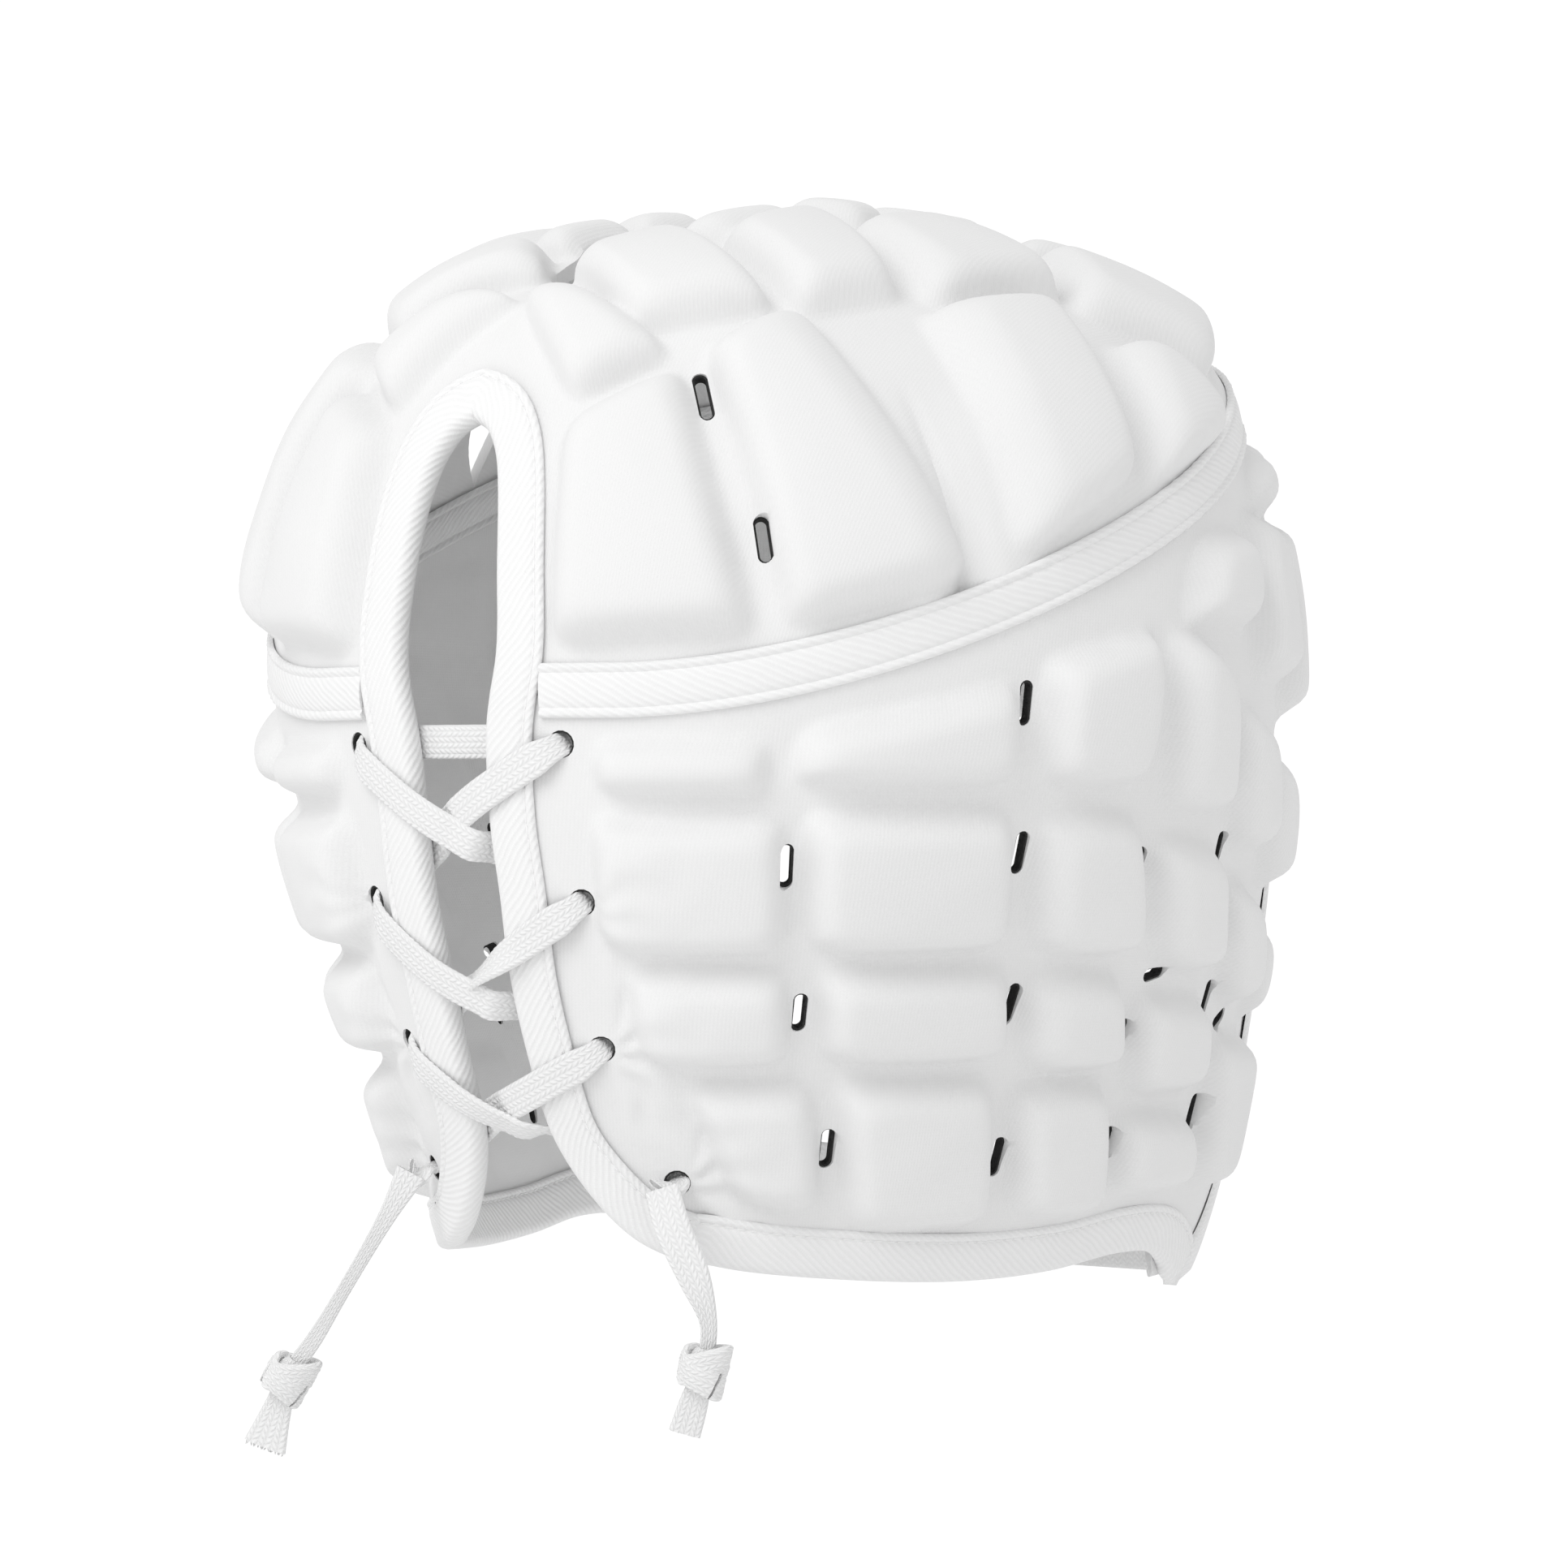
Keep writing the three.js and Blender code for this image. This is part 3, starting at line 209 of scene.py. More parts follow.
# Slits between the pads; swing turns a slit from upright, in degrees.
CROWN_SLITS = table_of(
    "turn place length swing",
    (33, 0.54, 1.2, -12), (36.6, 0.8, 1.05, -8),
)
BAND_SLITS = table_of(
    "turn place length swing",
    (38.3, 0.57, 1, 0), (40, 0.698, 0.9, 0), (42.4, 0.82, 0.95, 0), (63.5, 0.43, 1, 0),
    (63.6, 0.56, 1, 0), (64.2, 0.695, 1, 4), (63.4, 0.835, 0.95, 4), (79.3, 0.575, 1, 0),
    (79.6, 0.73, 0.9, 6), (79, 0.83, 0.85, 6), (94, 0.56, 0.9, 0), (95.5, 0.705, 1.2, 0),
    (95.8, 0.815, 1.3, 4), (84, 0.673, 0.75, 78), (101, 0.722, 0.75, 58),
)

# The open dart in the crown on the left.
DART_STEPS = 16
FOLD_TURN = 57.0  # degrees from the middle of the back to each closed dart
DART = dict(turn=97, top=0.5, foot=0.93, width=10)

# Edge of the slot from the arch to the corner of the hem: across is a share of SLOT_HALF_WIDTH,
# drop a share of the way from the arch to HEIGHT.
SLOT_EDGE = table_of(
    "across drop",
    (0, 0), (0.36, 0.015), (0.63, 0.045), (0.8, 0.09), (0.94, 0.175), (1.0, 0.26), (0.82, 0.344),
    (0.76, 0.43), (0.78, 0.512), (0.73, 0.6), (0.75, 0.68), (0.82, 0.77), (1.12, 0.825),
    (1.6, 0.872), (2.155, 0.898),
)

# Edge of the hem and of the face opening from the side: back is a share of BACK_REACH.
HEM_EDGE = table_of(
    "back level",
    (0.668, 0.911), (0.6, 0.921), (0.45, 0.932), (0.25, 0.94), (0.05, 0.939), (-0.14, 0.93),
    (-0.27, 0.934), (-0.36, 0.952), (-0.44, 0.985),
)
FACE_EDGE = table_of(
    "back level",
    (-0.44, 0.985), (-0.52, 0.95), (-0.575, 0.9), (-0.6, 0.83), (-0.595, 0.75), (-0.58, 0.67),
    (-0.585, 0.6), (-0.62, 0.53), (-0.7, 0.465), (-0.79, 0.43), (-0.86, 0.418),
)

# Eyelets from the top pair down.
EYELETS = table_of(
    "turn level",
    (14.4, 0.466), (16, 0.602), (16.6, 0.73), (23.6, 0.85),
)

# Crossings of the lace, from an eyelet outside to the other side's eyelet inside.
CROSSINGS = table_of(
    "from_side start end over",
    (1, 0, 1, 1), (-1, 0, 1, -1), (-1, 1, 2, -1), (1, 1, 2, 1), (1, 2, 3, 1), (-1, 2, 3, -1),
)

# How much a strand of the lace is turned on edge, in degrees, and narrowed at its middle.
STRAND_TWISTS = {2: (62, 0.8), 4: (24, 0.9), 5: (12, 1.0)}

# How far each strand sags below the straight way, in millimetres.
STRAND_SAGS = [1.6, -0.3, 0.6, 3.4, 2.6, 0.5]

# The free ends of the lace: the route in millimetres, which way its flat side looks at the top
# and at the end, and how wide it lies along the way as shares of LACE_WIDTH.
TAILS = dict(
    left=dict(
        points=[
            (28.3, 79.6, -170.5), (32, 82, -178.5), (40, 84.5, -192), (46, 85.5, -201),
            (52, 86, -208.5), (55, 86, -215), (58, 86, -222),
        ],
        knot=4,
        face=(-0.45, 0.75, -0.2),
        end_face=(-0.5, 0.8, 0.1),
        widths=[0.95, 0.55, 0.42, 0.5, 0.6, 0.9, 1.35],
    ),
    right=dict(
        points=[
            (-28.5, 79.6, -170.5), (-31.5, 80.5, -177), (-35, 79, -185.5), (-36.3, 76.5, -194),
            (-34.5, 75.5, -201.5), (-32, 75, -208), (-30, 75, -213.5),
        ],
        knot=4,
        face=(-0.35, 0.8, 0.35),
        end_face=(-0.6, 0.75, 0),
        widths=[1.0, 1.05, 0.95, 0.5, 0.55, 0.85, 0.95],
    ),
)

# The chin strap from a flap to the middle of the chin.
STRAP_TURNS = [99, 106, 113]
STRAP_LEVEL = 0.925
STRAP_ROUTE = table_of(
    "side forward level",
    (0.46, 0.72, 0.935), (0.27, 0.87, 0.945), (0, 0.94, 0.95),
)


# Surfaces of the cap, in millimetres, for arrays of turns and places
def blend(t, first, slope_a, last, slope_b):
    """A cubic from first to last that starts and ends at the given slopes."""
    return (
        (2 * t**3 - 3 * t**2 + 1) * first
        + (t**3 - 2 * t**2 + t) * slope_a
        + (3 * t**2 - 2 * t**3) * last
        + (t**3 - t**2) * slope_b
    )


def read(table, key, column, value):
    keys = np.array([row[key] for row in table], float)
    entries = np.array([row[column] for row in table], float)
    last = len(table) - 1
    i = np.searchsorted(keys[1:-1], value)
    before = np.maximum(i - 1, 0)
    after = np.minimum(i + 2, last)
    span = keys[i + 1] - keys[i]
    t = (value - keys[i]) / span
    slope_a = (entries[i + 1] - entries[before]) / (keys[i + 1] - keys[before]) * span
    slope_b = (entries[after] - entries[i]) / (keys[after] - keys[i]) * span
    return blend(t, entries[i], slope_a, entries[i + 1], slope_b)


def smoothstep(value, low, high):
    t = np.clip((value - low) / (high - low), 0, 1)
    return t * t * (3 - 2 * t)


def away_from_back(turn):
    return np.abs((turn + 540) % 360 - 180)


def section_at(level):
    """Half the width, the reach to back and front, and where the widest place is."""
    scales = dict(width=HALF_WIDTH, back=BACK_REACH, front=FRONT_REACH, ears=-FRONT_REACH)
    return [scale * read(SECTIONS, "level", name, level) for name, scale in scales.items()]


def band_point(turn, level):
    turn, level = np.broadcast_arrays(np.asarray(turn, float), np.asarray(level, float))
    width, back, front, ears = section_at(level)
    cosine = np.cos(np.radians(turn))
    reach = np.where(cosine > 0, back - ears, front + ears)
    return np.stack(
        [width * np.sin(np.radians(turn)), ears + reach * cosine, -HEIGHT * level], axis=-1
    )


def seam_level(turn):
    climb = smoothstep(away_from_back(turn), SEAM_TURN_BACK, SEAM_TURN_FRONT)
    return (SEAM_DEPTH_BACK + (SEAM_DEPTH_FRONT - SEAM_DEPTH_BACK) * climb) / HEIGHT


def opening_point(turn):
    cosine = np.cos(np.radians(turn))
    slope = (-OPENING_DEPTH_BACK - OPENING_RISE_FRONT) / 2
    sag = (OPENING_RISE_FRONT - OPENING_DEPTH_BACK) / 2 - OPENING_RISE_SIDE
    return np.stack(
        [
            OPENING_HALF_WIDTH * np.sin(np.radians(turn)),
            OPENING_BACK / 2 * (1 + cosine),
            OPENING_RISE_SIDE + slope * cosine + sag * cosine * cosine,
        ],
        axis=-1,
    )


def crown_point(turn, share):
    turn, share = np.broadcast_arrays(np.asarray(turn, float), np.asarray(share, float))
    rim = opening_point(turn)
    seam = band_point(turn, seam_level(turn))
    flat = FRONT_FLATNESS * smoothstep(away_from_back(turn), 50, 120)
    angle = share * math.pi / 2
    across = np.sin(angle) * (1 - flat) + share * flat
    down = np.cos(angle) * (1 - flat) + (1 - share) * flat
    point = rim + (seam - rim) * across[..., None]
    point[..., 2] = seam[..., 2] + (rim[..., 2] - seam[..., 2]) * down
    return point


def unit(vectors):
    return vectors / np.maximum(np.linalg.norm(vectors, axis=-1, keepdims=True), 1e-9)


def normal_at(surface, turn, place):
    turn = np.asarray(turn, float)
    place = np.asarray(place, float)
    across = surface(turn + 0.5, place) - surface(turn - 0.5, place)
    down = surface(turn, place + 0.004) - surface(turn, place - 0.004)
    normal = unit(np.cross(across, down))
    out = surface(turn, place) - HEAD_MIDDLE
    facing = np.sign(np.sum(normal * out, axis=-1, keepdims=True))
    return normal * np.where(facing == 0, 1, facing)


def lifted(surface, turn, place, lift):
    normal = normal_at(surface, turn, place)
    return surface(turn, place) + normal * np.asarray(lift, float)[..., None]


def smooth_line(points, count):
    """A centripetal curve through points, read at count places evenly over its stretches."""
    points = np.asarray(points, float)
    ahead = np.vstack([2 * points[0] - points[1], points, 2 * points[-1] - points[-2]])
    gaps = np.maximum(np.linalg.norm(np.diff(ahead, axis=0), axis=1) ** 0.5, 1e-4)
    line = []
    for place in np.linspace(0, len(points) - 1, count):
        i = min(int(place), len(points) - 2)
        t = place - i
        p0, p1, p2, p3 = ahead[i : i + 4]
        d0, d1, d2 = gaps[i : i + 3]
        m1 = ((p1 - p0) / d0 - (p2 - p0) / (d0 + d1) + (p2 - p1) / d1) * d1
        m2 = ((p2 - p1) / d1 - (p3 - p1) / (d1 + d2) + (p3 - p2) / d2) * d1
        line.append(blend(t, p1, m1, p2, m2))
    return np.array(line)


def lengths_along(points):
    return np.concatenate([[0], np.cumsum(np.linalg.norm(np.diff(points, axis=0), axis=1))])


def even_line(points, step):
    """The points of a line moved to even steps of about the given length."""
    lengths = lengths_along(points)
    count = max(int(round(lengths[-1] / step)), 2)
    at = np.linspace(0, lengths[-1], count + 1)
    return np.stack([np.interp(at, lengths, points[:, k]) for k in range(points.shape[1])], axis=1)


# Places along the edges of the cap
def back_place(x, depth):
    """Surface, turn and place on the back at an x and a depth below the top."""
    turn = 0.0
    place = depth / HEIGHT
    on_band = place >= seam_level(np.array(0.0))
    for _ in range(8):
        reach = section_at(np.array(min(place, 1.0)))[0]
        if not on_band:
            rim = opening_point(np.array(turn))
            seam = band_point(turn, seam_level(np.array(turn)))
            place = 2 / math.pi * math.acos(min(float((-depth - seam[2]) / (rim[2] - seam[2])), 1.0))
            half = section_at(seam_level(np.array(turn)))[0] - OPENING_HALF_WIDTH
            reach = OPENING_HALF_WIDTH + half * math.sin(place * math.pi / 2)
        turn = math.degrees(math.asin(max(-1.0, min(1.0, float(x / reach)))))
    return (band_point if on_band else crown_point), turn, float(place)


def side_place(y, depth, side):
    """Surface, turn and place on a side of the band at a y and a depth."""
    _, back, front, ears = section_at(np.array(depth / HEIGHT))
    reach = back - ears if y > ears else front + ears
    turn = math.degrees(math.acos(max(-1.0, min(1.0, float((y - ears) / reach)))))
    return band_point, turn * side, depth / HEIGHT


def slot_edge(count):
    rows = [
        (SLOT_HALF_WIDTH * row["across"], SLOT_TOP + (HEIGHT - SLOT_TOP) * row["drop"])
        for row in SLOT_EDGE
    ]
    return smooth_line(rows, count)


def side_edge(table, count):
    return smooth_line([(BACK_REACH * row["back"], HEIGHT * row["level"]) for row in table], count)


def without_end(rows, length):
    far = np.linalg.norm(rows - rows[-1], axis=1)
    return rows[far > length]


def edge_frames(places):
    """Even points along an edge with the surface's normal and the way out of the cloth."""
    points = np.array([surface(turn, place) for surface, turn, place in places])
    normals = np.array([normal_at(*p) for p in places])
    line = even_line(np.hstack([points, normals]), EDGE_STEP)
    points = line[:, :3]
    normals = unit(line[:, 3:])
    along = unit(np.gradient(points, axis=0))
    return points, normals, -unit(np.cross(along, normals))


def slot_and_hem_frames():
    slot = slot_edge(90)
    hem = without_end(side_edge(HEM_EDGE, 60), HEM_END)[1:]
    left = [back_place(x, d) for x, d in slot[1:]] + [side_place(y, d, 1) for y, d in hem]
    right = [back_place(-x, d) for x, d in slot[1:]] + [side_place(y, d, -1) for y, d in hem]
    return edge_frames(right[::-1] + [back_place(0.0, slot[0][1])] + left)


def face_frames():
    face = without_end(side_edge(FACE_EDGE, 60)[::-1], FACE_END)
    y, depth = face[0]
    start = side_place(y, depth, 1)[1]
    across = [(band_point, turn, depth / HEIGHT) for turn in np.linspace(start, 360 - start, 50)[1:-1]]
    left = [side_place(y, d, 1) for y, d in face[::-1]]
    right = [(band_point, 360 - side_place(y, d, 1)[1], d / HEIGHT) for y, d in face]
    return edge_frames(left + across + right)


# Meshes
class Skin:
    """Closed skins gathered into one piece, with a weave map in millimetres."""

    def __init__(self):
        self.vertices = []
        self.faces = []
        self.weave = []
        self.count = 0

    def loft(self, rings, along, around, closed=False):
        """A skin through rings of points. along has a length for each ring, around for each
        point of a ring; both have one entry more where they come back to their start."""
        rings = np.asarray(rings, float)
        rows, size = rings.shape[:2]
        for i in range(rows if closed else rows - 1):
            here = self.count + i * size
            there = self.count + (i + 1) % rows * size
            for j in range(size):
                k = (j + 1) % size
                self.faces.append((here + j, there + j, there + k, here + k))
                self.weave += [
                    (along[i], around[j]),
                    (along[i + 1], around[j]),
                    (along[i + 1], around[j + 1]),
                    (along[i], around[j + 1]),
                ]
        if not closed:
            for end in (0, rows - 1):
                self.faces.append(tuple(self.count + end * size + j for j in range(size)))
                self.weave += [(along[end], around[j]) for j in range(size)]
        self.vertices.append(rings.reshape(-1, 3))
        self.count += rows * size

    def copies(self, vertices, faces):
        """Many small closed bodies of one form: vertices has a body to a row."""
        bodies, size = vertices.shape[:2]
        for body in range(bodies):
            start = self.count + body * size
            for face in faces:
                self.faces.append(tuple(start + corner for corner in face))
                self.weave += [(0.0, 0.0)] * len(face)
        self.vertices.append(vertices.reshape(-1, 3))
        self.count += bodies * size

    def make(self, name):
        mesh = bpy.data.meshes.new(name)
        mesh.from_pydata((np.vstack(self.vertices) * MM).tolist(), [], self.faces)
        layer = mesh.uv_layers.new(name="weave")
        layer.data.foreach_set("uv", (np.array(self.weave, np.float32) * MM).ravel())
        shape = bmesh.new()
        shape.from_mesh(mesh)
        bmesh.ops.recalc_face_normals(shape, faces=shape.faces)
        shape.to_mesh(mesh)
        shape.free()
        piece = bpy.data.objects.new(name, mesh)
        bpy.context.scene.collection.objects.link(piece)
        return piece


def lofted(name, rings, along, around, closed=False):
    skin = Skin()
    skin.loft(rings, along, around, closed)
    return skin.make(name)


def dress(piece, slot, finish, *nodes):
    """Gives a piece its finish, its place on the cap and the solids that it stands for."""
    piece.data.materials.clear()
    piece.data.materials.append(finish)
    bpy.ops.object.select_all(action="DESELECT")
    piece.select_set(True)
    bpy.context.view_layer.objects.active = piece
    bpy.ops.object.shade_smooth_by_angle(angle=math.radians(SHARP_EDGE))
    piece.select_set(False)
    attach(piece, "root")
    if nodes:
        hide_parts(*nodes)
    return piece


def cut(piece, cutter):
    """Takes a cutter's body out of a piece, and the cutter with it."""
    change = piece.modifiers.new("cut", "BOOLEAN")
    change.operation = "DIFFERENCE"
    change.solver = "MANIFOLD"
    change.object = cutter
    bpy.ops.object.select_all(action="DESELECT")
    bpy.context.view_layer.objects.active = piece
    bpy.ops.object.modifier_apply(modifier=change.name)
    bpy.data.objects.remove(cutter)


# Pads of foam under the jersey
def pad_corners(surface, pad, side):
    sign = 1 if side == 2 else side
    corners = [
        ("top_rear", pad["top"]),
        ("top_front", pad["top"] + pad.get("tilt", 0)),
        ("foot_front", pad["foot"] + pad.get("lean", 0)),
        ("foot_rear", pad["foot"]),
    ]
    return np.array([surface(pad[turn] * sign, place) for turn, place in corners])


def pad_height(points, corners, shoulder, bevels, spread):
    """How high a pad stands at points: a steep side, a round shoulder and a nearly flat top."""
    centre = corners.mean(axis=0)
    ahead = unit(corners[1] + corners[2] - corners[0] - corners[3])
    down = (corners[2] + corners[3] - corners[0] - corners[1]) / 2
    down = unit(down - ahead * np.dot(down, ahead))
    flat = np.stack([(points - centre) @ ahead, (points - centre) @ down], axis=-1)
    outline = np.stack([(corners - centre) @ ahead, (corners - centre) @ down], axis=-1)
    half = min(
        np.linalg.norm(corners[0] + corners[1] - corners[2] - corners[3]),
        np.linalg.norm(corners[0] + corners[3] - corners[1] - corners[2]),
    ) / 4
    shoulder = min(shoulder, half * 0.9)
    total = 0.0
    for i in range(4):
        start = outline[i]
        edge = unit(outline[(i + 1) % 4] - start)
        inward = np.array([-edge[1], edge[0]])
        if np.dot(-start, inward) < 0:
            inward = -inward
        gap = (flat - start) @ inward + spread
        slope = shoulder / max(bevels[i] or shoulder, shoulder)
        total = total + np.exp(-np.where(gap > 0, gap * slope, gap) / CORNER_SOFTNESS)
    inside = -CORNER_SOFTNESS * np.log(np.maximum(total, 1e-12))
    t = np.clip(inside / shoulder, 0, 1)
    rise = 0.82 * np.sqrt(np.maximum(1 - (1 - t) ** 2, 0)) + 0.18 * t * t * (3 - 2 * t)
    full = PAD_RISE * min(1.0, 0.6 + 0.05 * half)
    crown = PAD_CROWN * (1 - np.exp(-np.maximum(inside - shoulder * 0.6, 0) / 7.0))
    fillet = 0.6 * smoothstep(inside, -FOOT_FILLET, 0.5)
    return np.maximum(full * rise + crown * smoothstep(inside, 0, shoulder), 0) * 0.93 + fillet


def pads_height(surface, pads, points, shoulder):
    height = np.zeros(points.shape[:-1])
    spread = CROWN_SPREAD if surface is crown_point else BAND_SPREAD
    for pad in pads:
        bevels = [None, pad.get("front"), None, pad.get("rear")]
        for side in ((1, -1) if pad["side"] == 0 else (pad["side"],)):
            corners = pad_corners(surface, pad, side)
            centre = corners.mean(axis=0)
            reach = np.max(np.linalg.norm(corners - centre, axis=1)) + FOOT_FILLET + 3.5
            near = np.linalg.norm(points - centre, axis=-1) < reach * 1.12
            rise = pad_height(points[near], corners, shoulder, bevels, spread)
            height[near] = np.maximum(height[near], rise)
    return height if surface is crown_point else height * BAND_LOWNESS


def eased(height):
    """The heights of a wall's grid, softened over its nearest neighbours."""
    height = (np.roll(height, 1, axis=0) + 2 * height + np.roll(height, -1, axis=0)) / 4
    wide = np.pad(height, ((0, 0), (1, 1)), mode="edge")
    return (wide[:, :-2] + 2 * height + wide[:, 2:]) / 4


def slackness(points):
    """A slow, slight unevenness of cloth over foam."""
    x, y, z = points[..., 0] / 9, points[..., 1] / 11, points[..., 2] / 8
    return (
        0.11 * np.sin(x + 1.7 * np.sin(z * 0.8) + 0.6)
        + 0.1 * np.sin(y * 1.3 + z * 0.9 + 2.1)
        + 0.07 * np.sin(2.1 * x - 1.6 * z + 0.4)
        + 0.05 * np.sin(3.3 * y + 2.7 * z)
    )


def pull_wrinkles(points):
    """Wrinkles that run from the eyelets towards the pads, where the lace pulls."""
    height = np.zeros(points.shape[:-1])
    for row in EYELETS[1:]:
        for side in (1, -1):
            centre = band_point(row["turn"] * side, row["level"])
            out = normal_at(band_point, row["turn"] * side, row["level"])
            up = np.array([0, 0, 1.0]) - out * out[2]
            up = unit(up)
            away = np.cross(up, out)
            away = away * np.sign(away[0] * side)
            near = np.linalg.norm(points - centre, axis=-1) < WRINKLE_REACH
            offset = points[near] - centre
            a = offset @ away
            b = offset @ up
            angle = np.arctan2(b, np.maximum(a, 1e-3))
            distance = np.hypot(a, b)
            fade = smoothstep(a, 1.5, 5) * (1 - smoothstep(distance, 12, 24))
            height[near] += 0.42 * fade * np.cos(angle * 9.5 + 0.8 * np.sin(distance * 0.5))
    return height


def dart_folds(turn, share):
    """The sewn darts at the sides of the crown's back, drawn in to a crease."""
    away = away_from_back(turn)
    aside = (away - FOLD_TURN) * 1.3 * np.minimum(share + 0.15, 1)
    depth = smoothstep(share, 0.55, 0.72)
    crease = -1.1 * np.exp(-((aside / 0.9) ** 2)) - 0.8 * np.exp(-((aside / 4.0) ** 2))
    ridge = 0.7 * np.exp(-(((aside - 6) / 3.0) ** 2)) + 0.5 * np.exp(-(((aside + 5) / 3.0) ** 2))
    return depth * (crease + ridge)


def wall_grid(surface, turns, steps, rims):
    turn = np.linspace(0, 360, turns, endpoint=False)[:, None]
    top, foot = (rim(turn) for rim in rims)
    place = top + (foot - top) * np.linspace(0, 1, steps)[None, :]
    turn = np.broadcast_to(turn, place.shape)
    return turn, place, surface(turn, place), normal_at(surface, turn, place)


def padded_wall(name, shell, counts, rims, extra):
    """A web with pads outside and a smooth face inside, closed at both rims. shell is the
    surface, its pads and their shoulder, counts the steps round and down."""
    surface, pads, shoulder = shell
    turns, steps = counts
    turn, place, points, normals = wall_grid(surface, turns, steps, rims)
    height = eased(eased(pads_height(surface, pads, points, shoulder)))
    flatness = 1 - smoothstep(height, 0.5, 5) * 0.5
    height = height + slackness(points) + extra(points, turn, place) * flatness
    outer = points + normals * height[..., None]
    _, _, points, normals = wall_grid(surface, turns, steps // 2, rims)
    relief = pads_height(surface, pads, points, shoulder) * 0.1
    inner = points - normals * (WEB + relief + slackness(points * 0.7))[..., None]
    rings = np.concatenate([outer, inner[:, ::-1]], axis=1)
    around = np.zeros(rings.shape[1] + 1)
    return lofted(name, rings, np.zeros(turns + 1), around, closed=True)


def weave_map(piece, place_of):
    """Lays the jersey's weave over a shell from the places of its points."""
    mesh = piece.data
    points = np.empty(len(mesh.vertices) * 3, np.float32)
    mesh.vertices.foreach_get("co", points)
    points = points.reshape(-1, 3) / MM
    corners = np.empty(len(mesh.loops), np.int32)
    mesh.loops.foreach_get("vertex_index", corners)
    starts = np.array([polygon.loop_start for polygon in mesh.polygons])
    totals = np.array([polygon.loop_total for polygon in mesh.polygons])
    face_of = np.repeat(np.arange(len(starts)), totals)
    weave = place_of(points)[corners]
    if place_of is band_weave:
        period = 2 * math.pi * BAND_RADIUS
        first = weave[starts][face_of]
        weave[:, 0] += period * np.round((first[:, 0] - weave[:, 0]) / period)
    while mesh.uv_layers:
        mesh.uv_layers.remove(mesh.uv_layers[0])
    layer = mesh.uv_layers.new(name="weave")
    layer.data.foreach_set("uv", (weave * MM).astype(np.float32).ravel())


def band_weave(points):
    angle = np.arctan2(points[:, 0], points[:, 1] + 8)
    return np.stack([angle * BAND_RADIUS, points[:, 2]], axis=1)


def crown_weave(points):
    flat = points[:, :2] - (0, 20)
    away = np.hypot(flat[:, 0], flat[:, 1]) + 1e-6
    return flat * (np.hypot(away, points[:, 2] * 0.9) / away)[:, None]


# Cutters
def through_cutter(name, bodies):
    """Bodies between an inner and an outer outline, a pair of outlines to a body."""
    skin = Skin()
    for rings in bodies:
        size = len(rings[0])
        skin.loft(rings, np.zeros(len(rings) + 1), np.zeros(size + 1))
    return skin.make(name)


def outline_rings(surface, turn, place, outline, swing, lifts=CUT_THROUGH):
    at = surface(turn, place)
    out = normal_at(surface, turn, place)
    up = np.array([0, 0, 1.0]) - out * out[2]
    up = unit(up)
    aside = np.cross(up, out)
    angle = math.radians(swing)
    turned_up = up * math.cos(angle) + aside * -math.sin(angle)
    turned_aside = np.cross(turned_up, out)
    flat = np.array([turned_aside * x + turned_up * y for x, y in outline])
    return [at + flat + out * lift for lift in lifts]


def slits(surface, table):
    """Surface, turn, place, swing, radius and length of each slit, on both sides of the cap."""
    return [
        (surface, row["turn"] * side, row["place"], row["swing"] * side, SLIT_WIDTH / 2, row["length"])
        for row in table
        for side in (1, -1)
    ]


def eyelets():
    return [
        (band_point, row["turn"] * side, row["level"], 0, EYELET_RADIUS, 0)
        for row in EYELETS
        for side in (1, -1)
    ]


def round_outline(radius, length):
    """A circle, or a slit with round ends when it has a length."""
    outline = []
    for i in range(HOLE_SIDES):
        angle = 2 * math.pi * (i + 0.5) / HOLE_SIDES
        shift = (length / 2 - radius) * math.copysign(1, math.sin(angle)) if length else 0
        outline.append((radius * math.cos(angle), radius * math.sin(angle) + shift))
    return outline


def painted_shade_sleeves(name):
    """Painted shade inside the slits and eyelets: thin near-black sleeves in the web that stand in for
    the shade in the holes.
    """
    holes = slits(crown_point, CROWN_SLITS) + slits(band_point, BAND_SLITS) + eyelets()
    skin = Skin()
    for surface, turn, place, swing, radius, length in holes:
        rings = []
        for inset, lifts in ((SHADE_SLEEVE_GAP, SHADE_SLEEVE_SPAN), (SHADE_SLEEVE_GAP + SHADE_SLEEVE_THICKNESS, SHADE_SLEEVE_SPAN[::-1])):
            long = SLIT_LENGTH * length - 2 * inset if length else 0
            outline = round_outline(radius - inset, long)
            rings += outline_rings(surface, turn, place, outline, swing, lifts)
        skin.loft(rings, np.arange(5.0), np.arange(HOLE_SIDES + 1.0), closed=True)
    return skin.make(name)


def hole_bodies(holes):
    return [
        outline_rings(surface, turn, place, round_outline(radius, SLIT_LENGTH * length), swing)
        for surface, turn, place, swing, radius, length in holes
    ]


def slot_body():
    edge = slot_edge(60)
    rows = np.vstack([edge, [edge[-1][0], HEIGHT]])
    rings = []
    for x, depth in rows:
        half = max(x, 0.05)
        places = [back_place(at, depth) for at in (-half, 0.0, half)]
        inner, outer = ([lifted(*place, lift) for place in places] for lift in CUT_THROUGH)
        rings.append(inner + outer[::-1])
    return rings


def hem_body():
    hem = side_edge(HEM_EDGE, 70)
    face = side_edge(FACE_EDGE, 70)[1:]
    outline = np.vstack(
        [
            [BACK_REACH * 1.3, hem[0][1] - 0.2],
            hem,
            face,
            [-FRONT_REACH * 1.3, face[-1][1]],
            [-FRONT_REACH * 1.3, HEIGHT * 1.2],
            [BACK_REACH * 1.3, HEIGHT * 1.2],
        ]
    )
    reach = HALF_WIDTH * 1.3
    return [np.array([(x, y, -d) for y, d in outline]) for x in (-reach, reach)]


